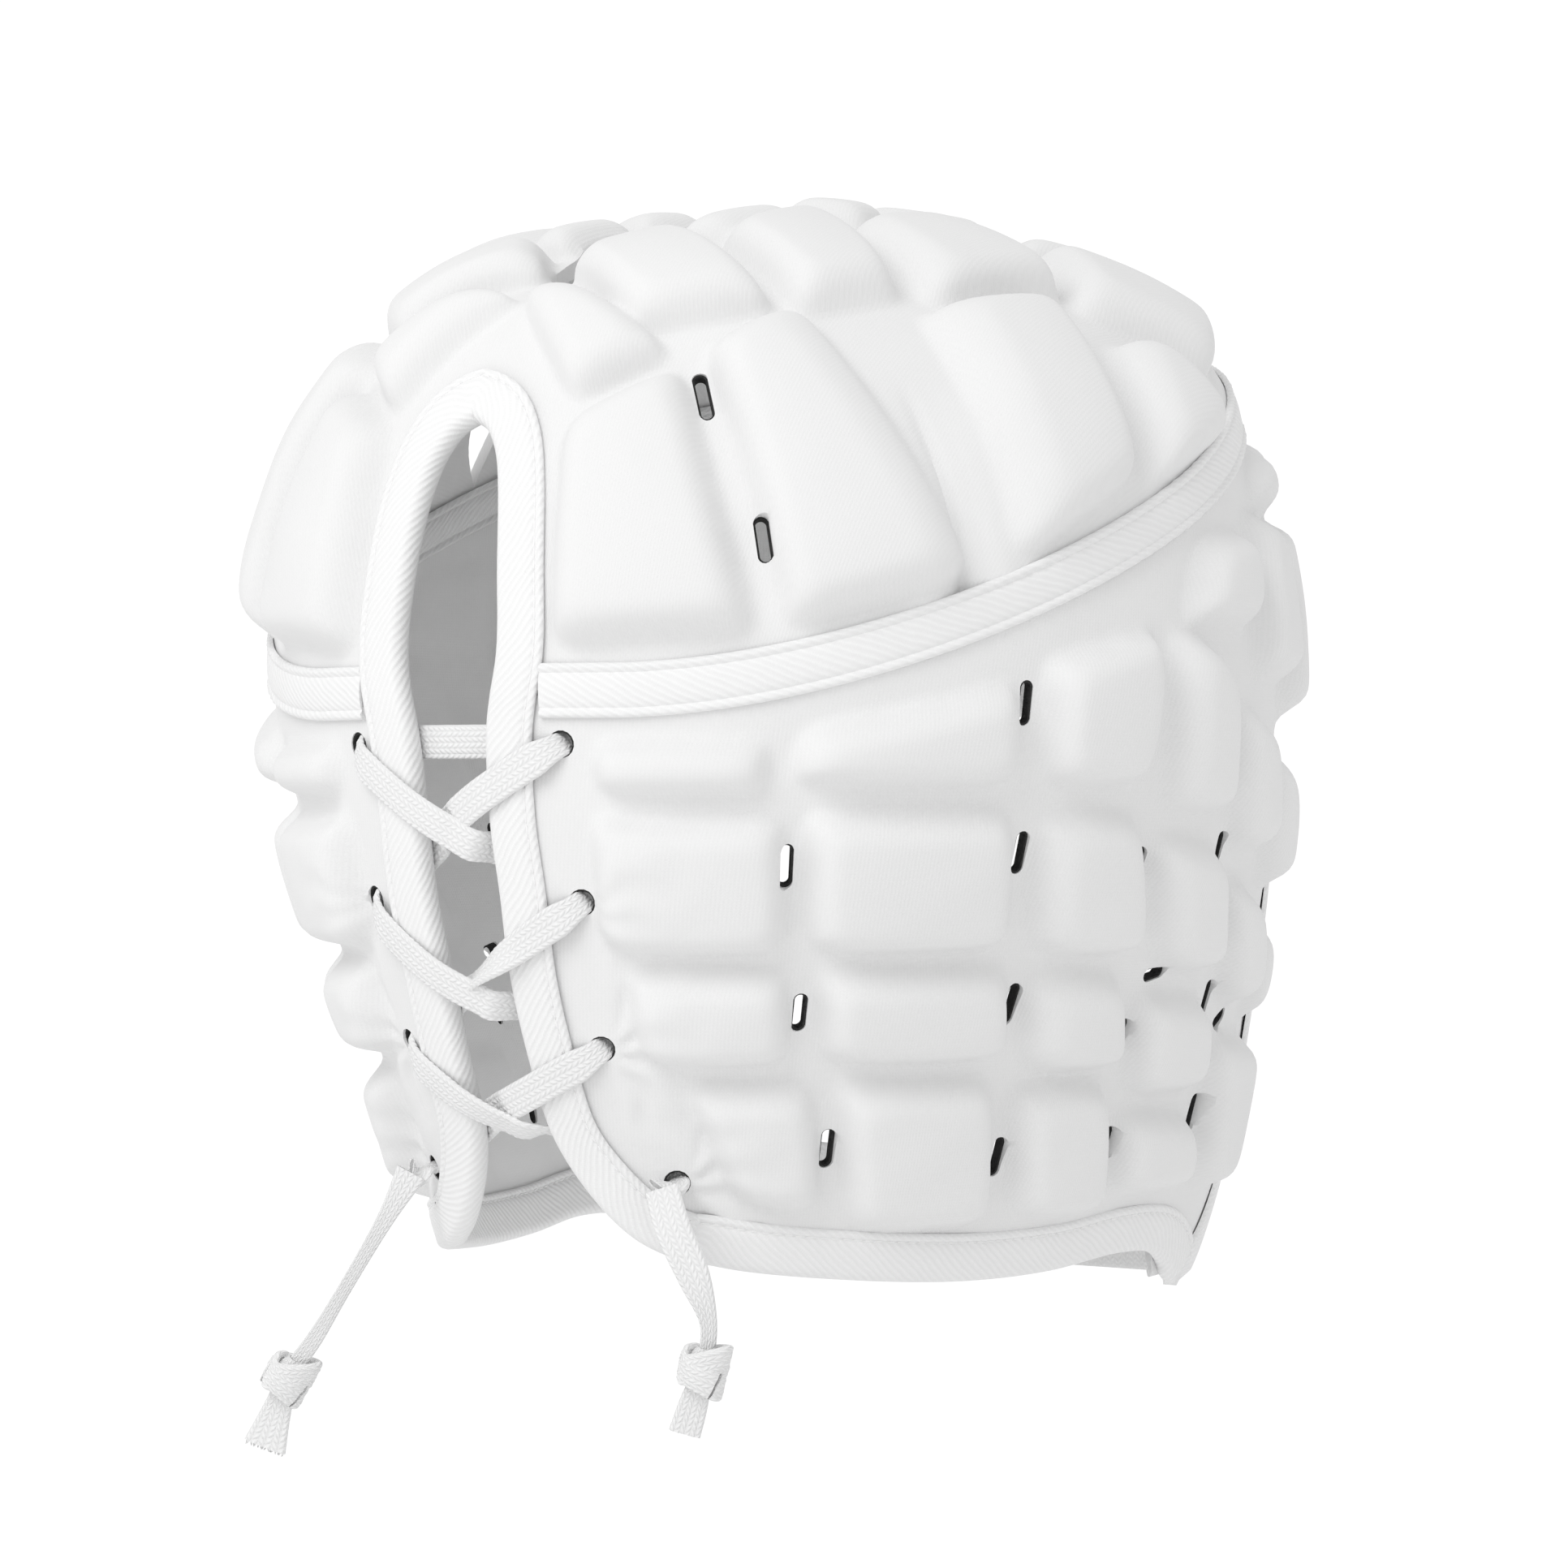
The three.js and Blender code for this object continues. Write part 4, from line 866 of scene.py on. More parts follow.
def dart_body():
    shares = np.linspace(0, 1, DART_STEPS)
    places = DART["top"] + (DART["foot"] - DART["top"]) * shares
    widths = DART["width"] / 2 * np.sin(math.pi * shares**0.8)
    turn = float(DART["turn"])
    rings = []
    for lift in CUT_THROUGH:
        line = lifted(crown_point, np.full(DART_STEPS, turn), places, np.full(DART_STEPS, lift))
        ahead = unit(crown_point(turn + 1.0, places) - crown_point(turn, places))
        aside = ahead * widths[:, None]
        rings.append(np.vstack([line + aside, (line - aside)[-2:0:-1]]))
    return rings


# Trims
def profile_length(profile):
    return lengths_along(np.vstack([profile, profile[:1]]))


def line_length(points):
    return np.append(lengths_along(points), 0)


def sweep(points, across, out, profile):
    """Rings of a profile: how far across the line its points lie, and how far out."""
    return (
        points[:, None] + across[:, None] * profile[..., :1] + out[:, None] * profile[..., 1:]
    )


def binding_profile():
    """The folded binding across its edge: how far out of the cloth, and how high over the web."""
    top = TRIM_GAP + BINDING_THICKNESS
    low = -WEB - top
    radius = (top - low) / 2
    fold = [
        (0.35 + radius * 0.8 * math.cos(angle), -WEB / 2 + radius * math.sin(angle))
        for angle in np.linspace(math.pi / 2, -math.pi / 2, 9)
    ]

    def leg(lift, way):
        shares = [1.0, 0.97, 0.9, 0.84, 0.8, 0.76, 0.68, 0.5, 0.3, 0.12]
        rises = [-0.55, -0.12, 0.06, -0.1, -0.32, -0.08, 0.1, 0.16, 0.1, 0.02]
        return [(-BINDING_WIDTH * share, lift + way * rise) for share, rise in zip(shares, rises)]

    walls = [(x, lift) for lift in (-WEB - TRIM_GAP, TRIM_GAP) for x in (-BINDING_WIDTH, 0.1)]
    inside = walls[:2] + walls[:1:-1]
    return np.array(leg(top, 1) + fold + leg(low, -1)[::-1] + inside)


def folded_binding(name, frames):
    points, normals, out = frames
    profile = binding_profile()
    length = line_length(points)
    place = length[: len(points)]
    to_end = np.minimum(place, place[-1] - place)
    taper = np.clip(0.5 + to_end / 8, 0, 1)[:, None, None]
    middle = np.array([0, -WEB / 2])
    rings = sweep(points, out, normals, middle + (profile - middle) * taper)
    return lofted(name, rings, length, profile_length(profile))


def stitch_row(skin, points, normals):
    """Short raised stitches end to end along a line of points."""
    line = even_line(np.hstack([points, normals]), STITCH_PITCH)
    centre = (line[1:, :3] + line[:-1, :3]) / 2
    normal = unit(line[1:, 3:] + line[:-1, 3:])
    along = unit(line[1:, :3] - line[:-1, :3])
    aside = np.cross(normal, along)
    sides = STITCH_SIDES
    shape = []
    for share, wide in ((-0.5, 0.3), (-0.3, 0.85), (0.0, 1.0), (0.3, 0.85), (0.5, 0.3)):
        for side in range(sides):
            angle = 2 * math.pi * side / sides
            shape.append(
                (share * STITCH_LENGTH, 0.24 * wide * math.cos(angle), 0.2 * wide * math.sin(angle))
            )
    shape = np.array(shape)
    bodies = sweep(centre, aside, normal, shape[:, 1:]) + along[:, None] * shape[:, :1]
    faces = []
    for start in range(0, 4 * sides, sides):
        for j in range(sides):
            k = (j + 1) % sides
            faces.append((start + j, start + sides + j, start + sides + k, start + k))
    faces.append(tuple(range(sides)))
    faces.append(tuple(4 * sides + j for j in range(sides)))
    skin.copies(bodies, faces)


def binding_stitches(name, frames):
    points, normals, out = frames
    seat = points - out * BINDING_STITCH
    skin = Skin()
    stitch_row(skin, seat + normals * (TRIM_GAP + BINDING_THICKNESS - 0.22), normals)
    stitch_row(skin, seat - normals * (WEB + TRIM_GAP + BINDING_THICKNESS - 0.22), -normals)
    return skin.make(name)


def tape_turns():
    margin = SLOT_HALF_WIDTH + BINDING_WIDTH - 0.6
    start = math.degrees(math.asin(margin / HALF_WIDTH))
    return np.linspace(start, 360 - start, TAPE_STEPS)


def seam_line(turn, aside, lift):
    """A point beside the seam, aside millimetres below it or, when negative, above it."""
    step = np.linalg.norm(crown_point(turn, 1.0) - crown_point(turn, 0.96), axis=-1) / 0.04
    if aside <= 0:
        return lifted(crown_point, turn, 1 + aside / step, np.full(turn.shape, lift))
    return lifted(band_point, turn, seam_level(turn) + aside / HEIGHT, np.full(turn.shape, lift))


def tape_profile():
    """The tape across the seam, with a soft selvedge outside each row of stitches."""
    asides = [-4.7, -4.6, -4.2, -3.7, -3.3, -2.95, -2.6, -1.8, -0.9, 0.0]
    heights = [0.2, 0.75, 1.15, 1.2, 0.95, 0.68, 0.9, 1.05, 1.1, 1.12]
    half = list(zip(asides, heights))
    return half + [(-aside, height) for aside, height in half[-2::-1]]


def seam_tape(name, base, way):
    turn = tape_turns()
    seam = seam_line(turn, 0.0, base)
    length = line_length(seam)
    top = tape_profile()
    profile = top + [(aside, 0.05) for aside in (4.6, 2.3, 0.0, -2.3, -4.6)]
    pucker = 0.09 * np.sin(length[:-1] * 2 * math.pi / STITCH_PITCH)
    lines = [seam_line(turn, aside, base + way * height) for aside, height in profile]
    rings = np.stack(lines, axis=1)
    for column, (aside, height) in enumerate(profile):
        if height > 0.1:
            edge = smoothstep(abs(aside), 2.5, 4.0)
            normal = normal_at(crown_point, turn, np.full(turn.shape, 0.99))
            rings[:, column] += normal * (way * pucker * (0.3 + edge))[:, None]
    return lofted(name, rings, length, profile_length(np.array(profile)))


def tape_stitches(name, lift, way):
    turn = tape_turns()
    normal = normal_at(crown_point, turn, np.full(turn.shape, 0.99)) * way
    skin = Skin()
    for aside in (-TAPE_STITCH, TAPE_STITCH):
        stitch_row(skin, seam_line(turn, aside, lift), normal)
    return skin.make(name)


# Lace
def flat_profile(width, thickness, sides):
    """A flat section with round edges: across, and towards its face."""
    points = []
    for side in range(sides):
        angle = 2 * math.pi * (side + 0.5) / sides
        across = math.copysign(abs(math.cos(angle)) ** 0.75, math.cos(angle))
        face = math.copysign(abs(math.sin(angle)) ** 0.6, math.sin(angle))
        points.append((across * width / 2, face * thickness / 2))
    return np.array(points)


def braid_relief(across, along):
    """Small slanted bumps of a flat braid, in staggered rows along it."""
    lane = across / 1.35 + 0.5
    row = np.floor(lane)
    slant = np.where(row % 2 == 0, 0.55, -0.55) * (lane - row - 0.5)
    beat = np.abs(np.sin(math.pi * ((along / 1.55 + slant) + 0.5 * (row % 2))))
    ridge = np.sqrt(np.maximum(np.sin(math.pi * (lane - row)), 0))
    return 0.2 * beat**0.7 * ridge - 0.1


def ribbon(skin, route, faces, widths, thickness=LACE_THICKNESS):
    """A flat braided lace along a route, with the way its flat side looks and its width."""
    table = np.hstack([route, faces, np.asarray(widths, float)[:, None]])
    line = even_line(table, LACE_STEP)
    points = line[:, :3]
    along = unit(np.gradient(points, axis=0))
    face = line[:, 3:6]
    face = unit(face - along * np.sum(along * face, axis=1, keepdims=True))
    across = np.cross(along, face)
    length = line_length(points)
    profile = flat_profile(LACE_WIDTH, thickness, LACE_SIDES)
    rings = []
    for i in range(len(points)):
        width = line[i, 6]
        bump = braid_relief(profile[:, 0], length[i])
        lift = profile[:, 1] * (1 + 0.35 * (1 - min(width, 1))) + np.sign(profile[:, 1]) * bump
        rings.append(points[i] + across[i] * (profile[:, :1] * width) + face[i] * lift[:, None])
    skin.loft(rings, length, profile_length(profile))


def strand(skin, number, row):
    """One crossing of the lace, from inside through its eyelet and over to the other side."""
    a = EYELETS[row["start"]]
    b = EYELETS[row["end"]]
    side = row["from_side"]
    first = band_point(a["turn"] * side, a["level"])
    last = band_point(-b["turn"] * side, b["level"])
    outside = TRIM_GAP + BINDING_THICKNESS + LACE_THICKNESS / 2 + 0.25
    inside = -WEB - outside
    middle = 0.2 + row["over"] * (LACE_THICKNESS / 2 + 0.12)
    normal = normal_at(band_point, a["turn"] * side, a["level"])
    ahead = unit(last - first)
    plan = [(0.0, inside, -ahead, 0.72), (0.0, -0.6, -ahead, 0.72), (0.03, 0.9, normal - ahead, 0.78)]
    turns, narrow = STRAND_TWISTS.get(number, (0, 1.0))
    for t in np.linspace(0.09, 1.0, 21):
        x = first[0] + (last[0] - first[0]) * t
        depth = -(first[2] + (last[2] - first[2]) * t)
        drop = np.array((depth - SLOT_TOP) / (HEIGHT - SLOT_TOP))
        room = SLOT_HALF_WIDTH * float(read(SLOT_EDGE, "drop", "across", drop)) - 2.4
        way = max(-1.0, min(1.0, x * side / room))
        if way > 0:
            lift = middle + way**0.55 * (outside - middle)
        else:
            lift = middle + smoothstep(-way, 0.5, 1.0) * (inside - middle)
        place = back_place(x, depth)
        plan.append((t, lift, normal_at(*place), 1.0))
    route = []
    faces = []
    widths = []
    sag = STRAND_SAGS[number]
    for t, lift, face, width in plan:
        x = first[0] + (last[0] - first[0]) * t
        depth = -(first[2] + (last[2] - first[2]) * t) + sag * math.sin(math.pi * t**0.7)
        route.append(lifted(*back_place(x, depth), lift))
        turned = math.radians(turns) * math.exp(-(((t - 0.52) / 0.2) ** 2))
        aside = np.cross(ahead, face)
        faces.append(np.asarray(face) * math.cos(turned) + aside * math.sin(turned))
        widths.append(width * (1 - (1 - narrow) * math.exp(-(((t - 0.52) / 0.25) ** 2))))
    table = smooth_line(np.hstack([route, unit(np.array(faces)), np.array(widths)[:, None]]), 90)
    ribbon(skin, table[:, :3], table[:, 3:6], table[:, 6])


def top_bar(skin):
    row = EYELETS[0]
    turns = np.linspace(row["turn"] + 0.8, -row["turn"] - 0.8, 30)
    lift = -WEB - TRIM_GAP - BINDING_THICKNESS - LACE_THICKNESS / 2 - 0.3
    route = lifted(band_point, turns, row["level"], np.full(30, lift))
    ribbon(skin, route, normal_at(band_point, turns, row["level"]), np.ones(30))


def tail_pass(skin, side, tail):
    """From inside out through the lowest eyelet to where the free end starts."""
    row = EYELETS[3]
    turn = row["turn"] * side
    normal = normal_at(band_point, turn, row["level"])
    points = np.array(tail["points"][:2], float)
    ahead = unit(points[1] - points[0])
    plan = [
        (lifted(band_point, turn, row["level"], -WEB - 1.9), -ahead, 0.72),
        (lifted(band_point, turn, row["level"], -0.6), -ahead, 0.72),
        (lifted(band_point, turn, row["level"], 0.9), normal - ahead, 0.8),
        (points[0] + ahead * 0.3, np.array(tail["face"]), tail["widths"][0]),
    ]
    route = [np.hstack([np.ravel(at), unit(np.ravel(face)), width]) for at, face, width in plan]
    table = smooth_line(np.array(route), 24)
    ribbon(skin, table[:, :3], table[:, 3:6], table[:, 6])


def lace_piece():
    skin = Skin()
    for number, row in enumerate(CROSSINGS):
        strand(skin, number, row)
    top_bar(skin)
    for side, tail in ((1, TAILS["left"]), (-1, TAILS["right"])):
        tail_pass(skin, side, tail)
    return skin.make("laced_cord")


def tail_line(tail):
    points = np.array(tail["points"], float)
    count = len(points)
    share = np.linspace(0, 1, count)[:, None]
    faces = unit(np.array(tail["face"]) * (1 - share) + np.array(tail["end_face"]) * share)
    table = np.hstack([points, faces, np.array(tail["widths"])[:, None]])
    return smooth_line(table, 80)


def tail_piece(name, tail):
    line = tail_line(tail)
    skin = Skin()
    ribbon(skin, line[:, :3], line[:, 3:6], line[:, 6])
    if tail["widths"][-1] > 1.1:
        frayed_threads(skin, line)
    return skin.make(name)


def oval(centre, across, up, sides):
    angles = np.linspace(0, 2 * math.pi, sides, endpoint=False)
    return [centre + across * math.cos(angle) + up * math.sin(angle) for angle in angles]


def frayed_threads(skin, line):
    """Loose yarns at a cut end."""
    along = unit(line[-1, :3] - line[-4, :3])
    face = line[-1, 3:6]
    across = np.cross(along, face)
    for i in range(16):
        offset = (i / 15 - 0.5) * LACE_WIDTH * line[-1, 6] * 0.94
        start = line[-1, :3] + across * offset + face * 0.3 * math.sin(i * 2.4)
        bend = across * (0.35 * math.sin(i * 1.9)) + face * (0.4 * math.cos(i * 2.7))
        length = 0.7 + 0.5 * math.sin(i * 3.1) ** 2
        reach = along * length
        points = [start - along * 0.6, start + reach * 0.5 + bend * 0.3, start + reach + bend]
        rings = []
        for radius, point in zip((0.24, 0.18, 0.12), points):
            rings.append(oval(point, across * radius, face * radius, 5))
        skin.loft(rings, np.arange(4.0), np.arange(6.0) * 0.3)


def knot_piece(name, tail):
    """A single overhand knot in the flat lace: two turns over a thick core."""
    points = np.array(tail["points"], float)
    at = points[tail["knot"]]
    along = unit(points[tail["knot"] + 1] - points[tail["knot"] - 1])
    face = np.array(tail["face"], float)
    face = unit(face - along * np.dot(face, along))
    across = np.cross(along, face)
    skin = Skin()
    for tilt, shift, wide, deep, start in ((38, -0.9, 1.0, 0.78, 0.4), (-34, 1.2, 0.94, 0.84, 2.6)):
        angle = np.linspace(start, start + 2 * math.pi * 0.98, 70)
        lean = math.tan(math.radians(tilt))
        u = KNOT_RADIUS * 0.86 * wide * np.cos(angle)
        v = KNOT_RADIUS * 0.72 * deep * np.sin(angle)
        w = shift + u * lean * 0.55 + 0.5 * np.sin(2 * angle)
        route = at + np.outer(u, across) + np.outer(v, face) + np.outer(w, along)
        outward = unit(np.outer(np.cos(angle) / wide, across) + np.outer(np.sin(angle) * 1.2, face))
        ribbon(skin, route, outward, 0.86 + 0.08 * np.sin(angle * 2 + start), 1.5)
    core = at + np.outer(np.linspace(-3.6, 3.6, 12), along)
    rings = []
    for i, point in enumerate(core):
        wide = math.sin(math.pi * (i + 1.2) / 13.4) ** 0.5
        rings.append(oval(point, across * 3.1 * wide, face * 2.3 * wide, 16))
    skin.loft(rings, np.arange(13.0), np.arange(17.0))
    return skin.make(name)


# Chin strap
def chin_strap_piece():
    lift = -WEB - TRIM_GAP - BINDING_THICKNESS - 0.5 - STRAP_THICKNESS / 2 - 0.9
    sewn = [lifted(band_point, float(turn), STRAP_LEVEL, lift) for turn in STRAP_TURNS]
    free = [
        (HALF_WIDTH * row["side"], -FRONT_REACH * row["forward"], -HEIGHT * row["level"])
        for row in STRAP_ROUTE
    ]
    half = np.vstack([sewn, free])
    other = half[:-1][::-1] * np.array([-1, 1, 1])
    line = even_line(smooth_line(np.vstack([half, other]), 160), 1.0)
    along = unit(np.gradient(line, axis=0))
    out = line * np.array([1, 1, 0])
    out = unit(out - along * np.sum(out * along, axis=1, keepdims=True))
    across = np.cross(along, out)
    profile = flat_profile(STRAP_WIDTH, STRAP_THICKNESS, 40)
    rings = sweep(line, across, out, profile)
    return lofted("chin_webbing", rings, line_length(line), profile_length(profile))


# Finishes
class Wire:
    """A socket of a finish, with arithmetic that adds its Math nodes."""

    def __init__(self, finish, socket):
        self.finish = finish
        self.socket = socket

    def math(self, operation, *values):
        inputs = dict(enumerate(values))
        return self.finish.node("ShaderNodeMath", dict(operation=operation), inputs)

    def __add__(self, other):
        return self.math("ADD", self, other)

    def __sub__(self, other):
        return self.math("SUBTRACT", self, other)

    def __mul__(self, other):
        return self.math("MULTIPLY", self, other)

    def __truediv__(self, other):
        return self.math("DIVIDE", self, other)

    def __radd__(self, other):
        return self.math("ADD", other, self)

    def __rsub__(self, other):
        return self.math("SUBTRACT", other, self)

    def __rmul__(self, other):
        return self.math("MULTIPLY", other, self)

    def sine(self):
        return self.math("SINE", self)

    def fraction(self):
        return self.math("FRACT", self)

    def size(self):
        return self.math("ABSOLUTE", self)


class Finish:
    """A material under construction."""

    def __init__(self, name):
        self.material = bpy.data.materials.new(name)
        self.material.use_nodes = True
        self.tree = self.material.node_tree
        self.shader = self.tree.nodes["Principled BSDF"]

    def node(self, kind, settings=None, inputs=None, output=0):
        made = self.tree.nodes.new(kind)
        for key, value in (settings or {}).items():
            setattr(made, key, value)
        for key, value in (inputs or {}).items():
            self.put(made.inputs[key], value)
        return Wire(self, made.outputs[output])

    def put(self, socket, value):
        if isinstance(value, Wire):
            self.tree.links.new(value.socket, socket)
        else:
            socket.default_value = value

    def weave(self):
        """Lengths in millimetres along and across the piece's own weave."""
        uv = self.node("ShaderNodeUVMap", dict(uv_map="weave"))
        split = self.node("ShaderNodeSeparateXYZ", None, {0: uv}).socket.node
        return Wire(self, split.outputs[0]) * (1 / MM), Wire(self, split.outputs[1]) * (1 / MM)

    def place(self):
        return self.node("ShaderNodeTexCoord", None, None, 3)

    def noise(self, scale, detail):
        sockets = {"Vector": self.place(), "Scale": scale, "Detail": detail}
        return self.node("ShaderNodeTexNoise", None, sockets)

    def mix(self, factor, first, second):
        sockets = {"Factor": factor, 6: first, 7: second}
        return self.node("ShaderNodeMix", dict(data_type="RGBA"), sockets, 2)

    def done(self, shade, dark, light, height, distance, strength):
        """The material, with a shade between two greys and a relief in metres."""
        self.put(self.shader.inputs["Base Color"], self.mix(shade, grey(dark), grey(light)))
        relief = {"Height": height, "Distance": distance, "Strength": strength}
        self.put(self.shader.inputs["Normal"], self.node("ShaderNodeBump", None, relief))
        return self.material


def grey(value):
    return (value, value, value, 1.0)


def ribs(length, pitch):
    """0 to 1 and back over each pitch."""
    return (length * (2 * math.pi / pitch)).sine() * 0.5 + 0.5


def cloth(name, roughness, sheen):
    finish = Finish(name)
    values = {"Roughness": roughness, "Sheen Weight": sheen, "Sheen Roughness": 0.6}
    values["Specular IOR Level"] = 0.2
    for socket, value in values.items():
        finish.shader.inputs[socket].default_value = value
    return finish


def jersey():
    """Fine white knit: columns of stitches with a slight slant, and soft stains of shade."""
    finish = cloth("white_jersey", 0.9, 0.15)
    u, v = finish.weave()
    columns = ribs(u + v * 0.12, 0.62)
    courses = ribs(v - (columns * 0.25), 0.52)
    knit = columns * 0.6 + courses * 0.4
    cloudy = finish.noise(60.0, 3.0)
    fuzz = finish.noise(2600.0, 2.0)
    shade = knit * 0.35 + cloudy * 0.4 + fuzz * 0.25
    height = knit * 0.7 + fuzz * 0.3
    return finish.done(shade, 0.775, 0.825, height, 0.00009, 0.55)


def twill(name, along, across):
    """White twill: rounded ribs that run aslant, with the yarns showing in them."""
    finish = cloth(name, 0.82, 0.1)
    u, v = finish.weave()
    wander = finish.noise(130.0, 1.0) * 1.2
    rib = ribs(u * along + v * across + wander, TWILL_PITCH)
    yarn = ribs(u * (across * 1.9) - v * (along * 1.9), 0.8)
    fuzz = finish.noise(2200.0, 2.0)
    shade = rib * 0.55 + yarn * 0.15 + fuzz * 0.3
    height = rib * 0.7 + rib * yarn * 0.2 + fuzz * 0.1
    return finish.done(shade, 0.805, 0.885, height, 0.00016, 0.75)


def lace_yarn():
    """Flat braid: staggered rows of small slanted bumps, as the yarns cross."""
    finish = cloth("white_lace_yarn", 0.75, 0.15)
    u, v = finish.weave()
    lane = v * (1 / BRAID_LANE)
    odd = (lane * 0.5).fraction()
    odd = odd.math("GREATER_THAN", odd, 0.5)
    place = lane.fraction()
    slant = (odd * 2 - 1) * (place - 0.5) * 0.6
    beat = ((u * (1 / BRAID_PITCH) + slant + odd * 0.5) * math.pi).sine().size()
    ridge = (place * math.pi).sine()
    bump = beat * ridge
    fuzz = finish.noise(2400.0, 3.0)
    shade = bump * 0.75 + fuzz * 0.25
    return finish.done(shade, 0.8, 0.89, bump * 0.9 + fuzz * 0.1, 0.00026, 0.8)


def webbing():
    finish = cloth("white_webbing", 0.85, 0.1)
    u, v = finish.weave()
    rib = ribs(u, 1.3) * ribs(v + (ribs(u, 2.6) * 0.6), 1.1)
    fuzz = finish.noise(2000.0, 2.0)
    shade = rib * 0.6 + fuzz * 0.4
    return finish.done(shade, 0.73, 0.82, shade, 0.0002, 0.8)


def stitch_yarn():
    finish = cloth("white_stitch_yarn", 0.6, 0.05)
    fuzz = finish.noise(3000.0, 2.0)
    return finish.done(fuzz, 0.8, 0.88, fuzz, 0.00008, 0.5)


# Near-black finish of the sleeves: painted shade in the slits and eyelets, with a fine speckle
def painted_hole_shade():
    finish = cloth("painted_hole_shade", 0.9, 0.0)
    speckle = finish.noise(1800.0, 2.0)
    return finish.done(speckle, 0.012, 0.05, speckle, 0.0002, 0.8)


def floor_paper_painted_glow():
    """Pale paper with a painted glow that rises away from the cap, so the floor near the cap reads as
    a painted soft shadow and the far floor as lit white.
    """
    finish = Finish("pale_floor_painted_glow")
    finish.shader.inputs["Roughness"].default_value = 0.95
    radius = finish.node("ShaderNodeVectorMath", dict(operation="LENGTH"), {0: finish.place()}, 1)
    reach = {"Value": radius, "From Min": 0.45, "From Max": 1.1}
    spread = finish.node("ShaderNodeMapRange", dict(interpolation_type="SMOOTHSTEP"), reach)
    grain = finish.noise(18.0, 2.0)
    finish.put(finish.shader.inputs["Base Color"], finish.mix(grain, grey(0.9), grey(0.93)))
    # Painted glow: no emission under the cap, full emission far from it, leaving a painted soft shadow
    # near the cap
    finish.put(finish.shader.inputs["Emission Color"], finish.mix(spread, grey(0.0), grey(1.0)))
    finish.shader.inputs["Emission Strength"].default_value = 0.72
    return finish.material


# Camera, room and light
def place_camera():
    data = bpy.data.cameras.new("camera")
    data.sensor_width = SENSOR
    data.lens = SENSOR * FOCAL_PIXELS / PHOTO_SIDE
    data.clip_end = 50
    camera = bpy.data.objects.new("camera", data)
    camera.location = Vector(CAMERA_PLACE) * MM
    look = Vector((math.sin(CAMERA_TURN), -math.cos(CAMERA_TURN), 0))
    camera.rotation_euler = look.to_track_quat("-Z", "Y").to_euler()
    bpy.context.scene.collection.objects.link(camera)
    bpy.context.scene.camera = camera


def lay_floor():
    bpy.ops.object.select_all(action="DESELECT")
    place = (0, 0, -FLOOR_DEPTH)
    bpy.ops.mesh.primitive_circle_add(
        vertices=64, radius=FLOOR_RADIUS, fill_type="NGON", location=place
    )
    floor = bpy.context.active_object
    floor.name = "floor"
    floor.data.materials.append(floor_paper_painted_glow())


def area_light(name, place, target, size, power):
    data = bpy.data.lights.new(name, "AREA")
    data.shape = "DISK"
    data.size = size
    data.energy = power
    light = bpy.data.objects.new(name, data)
    light.location = place
    aim = Vector(target) - Vector(place)
    light.rotation_euler = aim.to_track_quat("-Z", "Y").to_euler()
    bpy.context.scene.collection.objects.link(light)


def light_room():
    world = bpy.data.worlds.new("white_room")
    world.use_nodes = True
    tree = world.node_tree
    seen = tree.nodes["Background"]
    lit = tree.nodes.new("ShaderNodeBackground")
    for shader, strength in ((seen, ROOM_SEEN), (lit, ROOM_LIGHT)):
        shader.inputs["Color"].default_value = grey(1.0)
        shader.inputs["Strength"].default_value = strength
    path = tree.nodes.new("ShaderNodeLightPath")
    either = tree.nodes.new("ShaderNodeMixShader")
    tree.links.new(path.outputs["Is Camera Ray"], either.inputs[0])
    tree.links.new(lit.outputs[0], either.inputs[1])
    tree.links.new(seen.outputs[0], either.inputs[2])
    tree.links.new(either.outputs[0], tree.nodes["World Output"].inputs["Surface"])
    bpy.context.scene.world = world
    bpy.context.scene.view_settings.view_transform = "Standard"
    area_light("key", KEY_PLACE, (0, 0, -0.1), KEY_SIZE, KEY_POWER)


# Making
place_camera()
JERSEY = jersey()
BINDING_TWILL = twill("white_binding_twill", 0.62, 0.78)
TAPE_TWILL = twill("white_tape_twill", 0.5, 0.87)
LACE_YARN = lace_yarn()
WEBBING = webbing()
STITCH_YARN = stitch_yarn()
PAINTED_HOLE_SHADE = painted_hole_shade()

for side, tail in TAILS.items():
    knot = dress(knot_piece("lace_knot_" + side, tail), "lace_yarn", LACE_YARN, "knot_" + side)
    end = dress(tail_piece("lace_end_" + side, tail), "lace_yarn", LACE_YARN, "lace_tail_" + side)
    route = tail_line(tail)[:, :3]

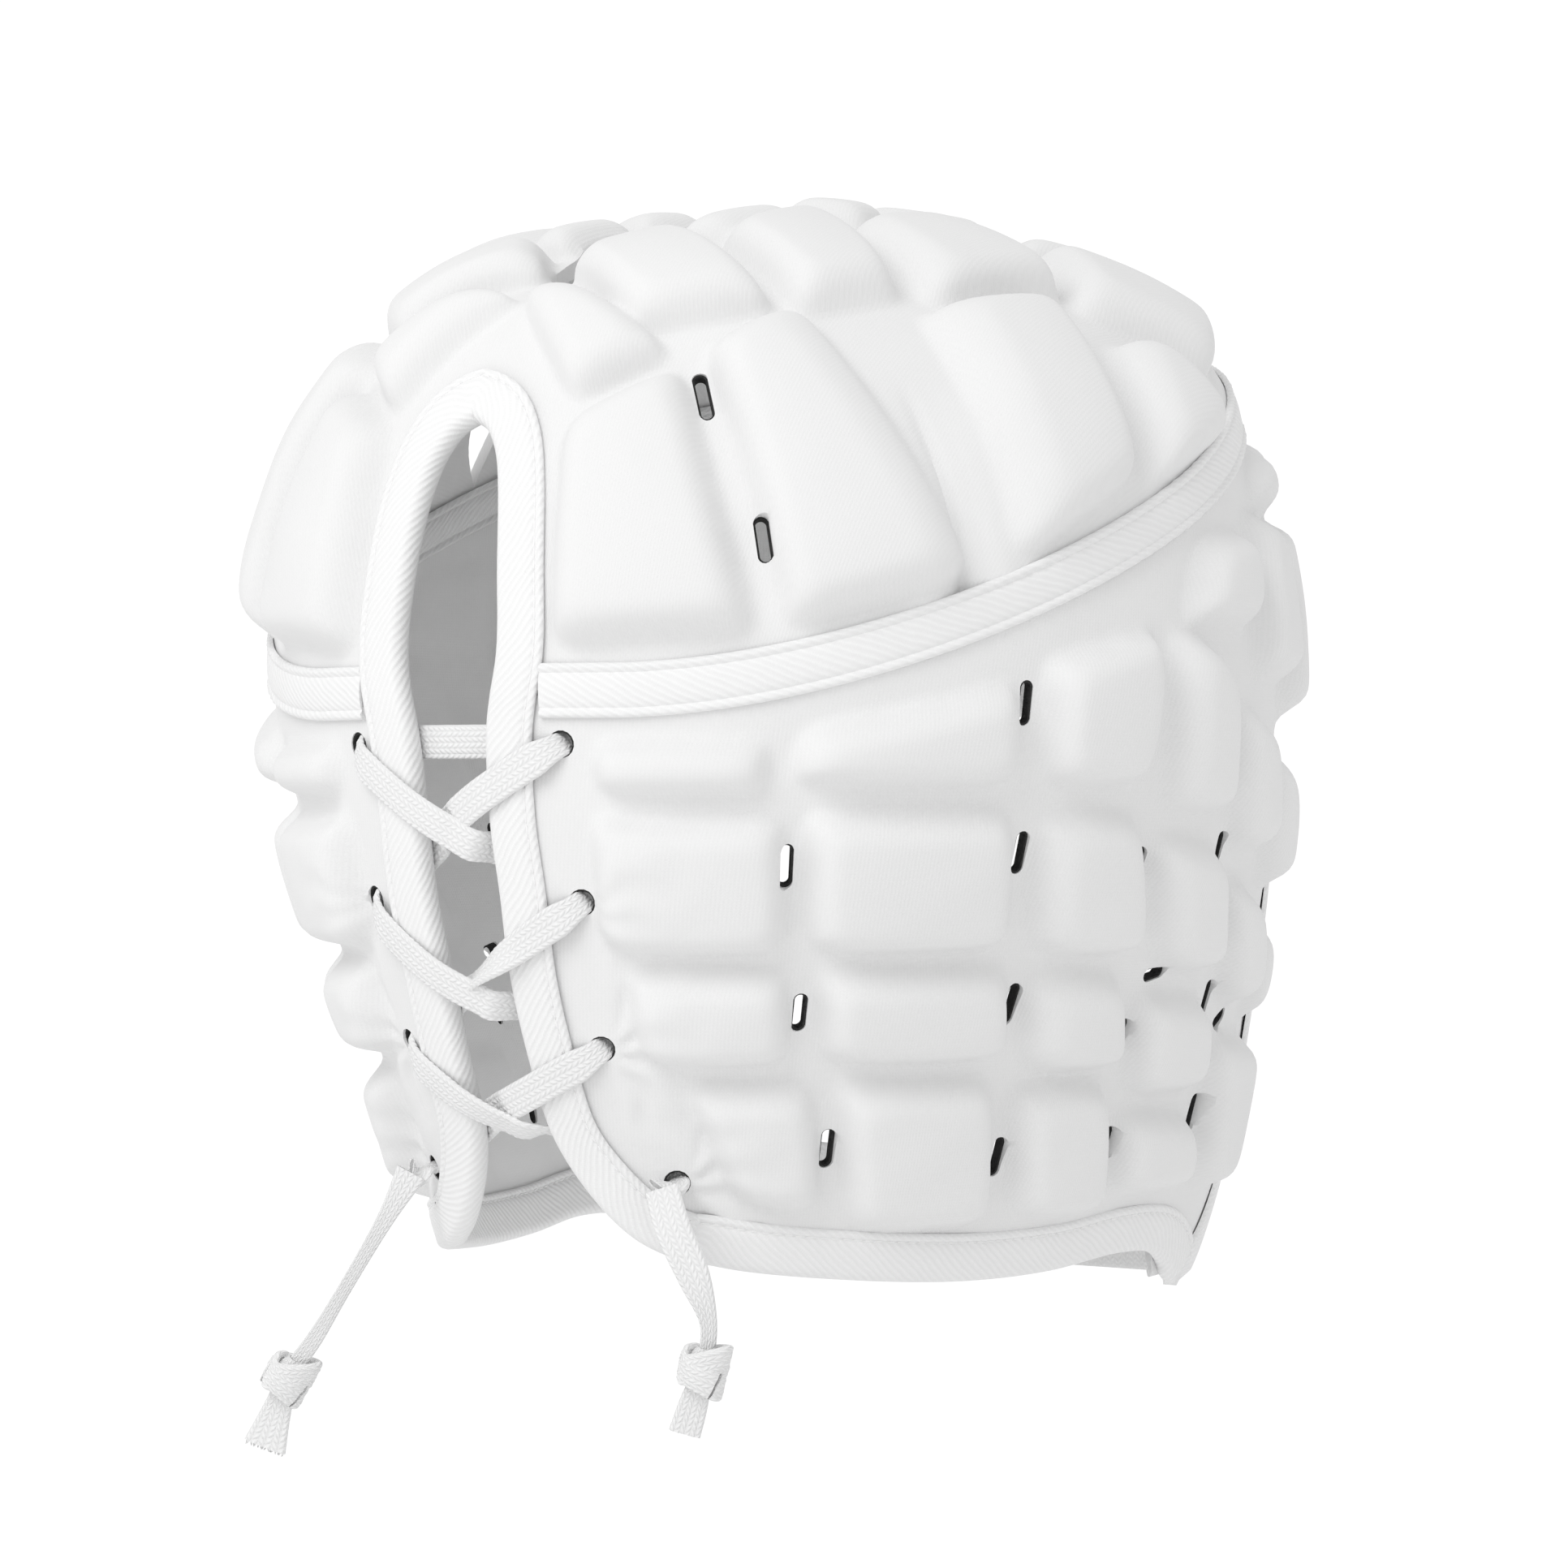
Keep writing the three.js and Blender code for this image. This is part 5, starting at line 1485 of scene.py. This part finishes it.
crown = padded_wall(
    "crown_panel",
    (crown_point, CROWN_PADS, CROWN_SHOULDER),
    (640, 120),
    (lambda turn: turn * 0.0, lambda turn: turn * 0.0 + 1),
    lambda points, turn, share: dart_folds(turn, share),
)
cut(crown, through_cutter("slot_cutter", [slot_body()]))
cut(crown, through_cutter("dart_cutter", [dart_body()]))
cut(crown, through_cutter("slit_cutter", hole_bodies(slits(crown_point, CROWN_SLITS))))
weave_map(crown, crown_weave)
dress(crown, "shell_jersey", JERSEY, "crown_shell")

band = padded_wall(
    "side_panels",
    (band_point, BAND_PADS, BAND_SHOULDER),
    (720, 150),
    (
        lambda turn: seam_level(turn) + SEAM_GAP / HEIGHT,
        lambda turn: 1 - 0.45 * smoothstep(away_from_back(turn), 133, 152),
    ),
    lambda points, turn, place: pull_wrinkles(points),
)
cut(band, through_cutter("slot_cutter", [slot_body()]))
cut(band, through_cutter("hem_cutter", [hem_body()]))
small = hole_bodies(slits(band_point, BAND_SLITS) + eyelets())
cut(band, through_cutter("slit_cutter", small))
weave_map(band, band_weave)
dress(band, "shell_jersey", JERSEY, "side_band")

# Sleeves of painted shade in the slits and eyelets
dress(painted_shade_sleeves("painted_shade_sleeves"), None, PAINTED_HOLE_SHADE)

edges = (
    ("slot_and_hem", "back_binding", slot_and_hem_frames()),
    ("face_edge", "face_binding", face_frames()),
)
for name, node, frames in edges:
    dress(folded_binding(name + "_binding", frames), "twill_binding", BINDING_TWILL, node)
for name, _, frames in edges:
    dress(binding_stitches(name + "_stitches", frames), "twill_binding", STITCH_YARN)
tape_sides = (
    ("", "seam_tape_outer", 1, 0.1, 0.62),
    ("_inside", "seam_tape_inner", -1, -WEB - 0.4, -WEB - 0.92),
)
for ending, node, way, base, _ in tape_sides:
    dress(seam_tape("crown_seam_tape" + ending, base, way), "twill_tape", TAPE_TWILL, node)
for ending, _, way, _, seat in tape_sides:
    dress(tape_stitches("seam_stitches" + ending, seat, way), "twill_tape", STITCH_YARN)
dress(lace_piece(), "lace_yarn", LACE_YARN, "lace")
dress(chin_strap_piece(), "strap_webbing", WEBBING, "chin_strap")

lay_floor()
light_room()
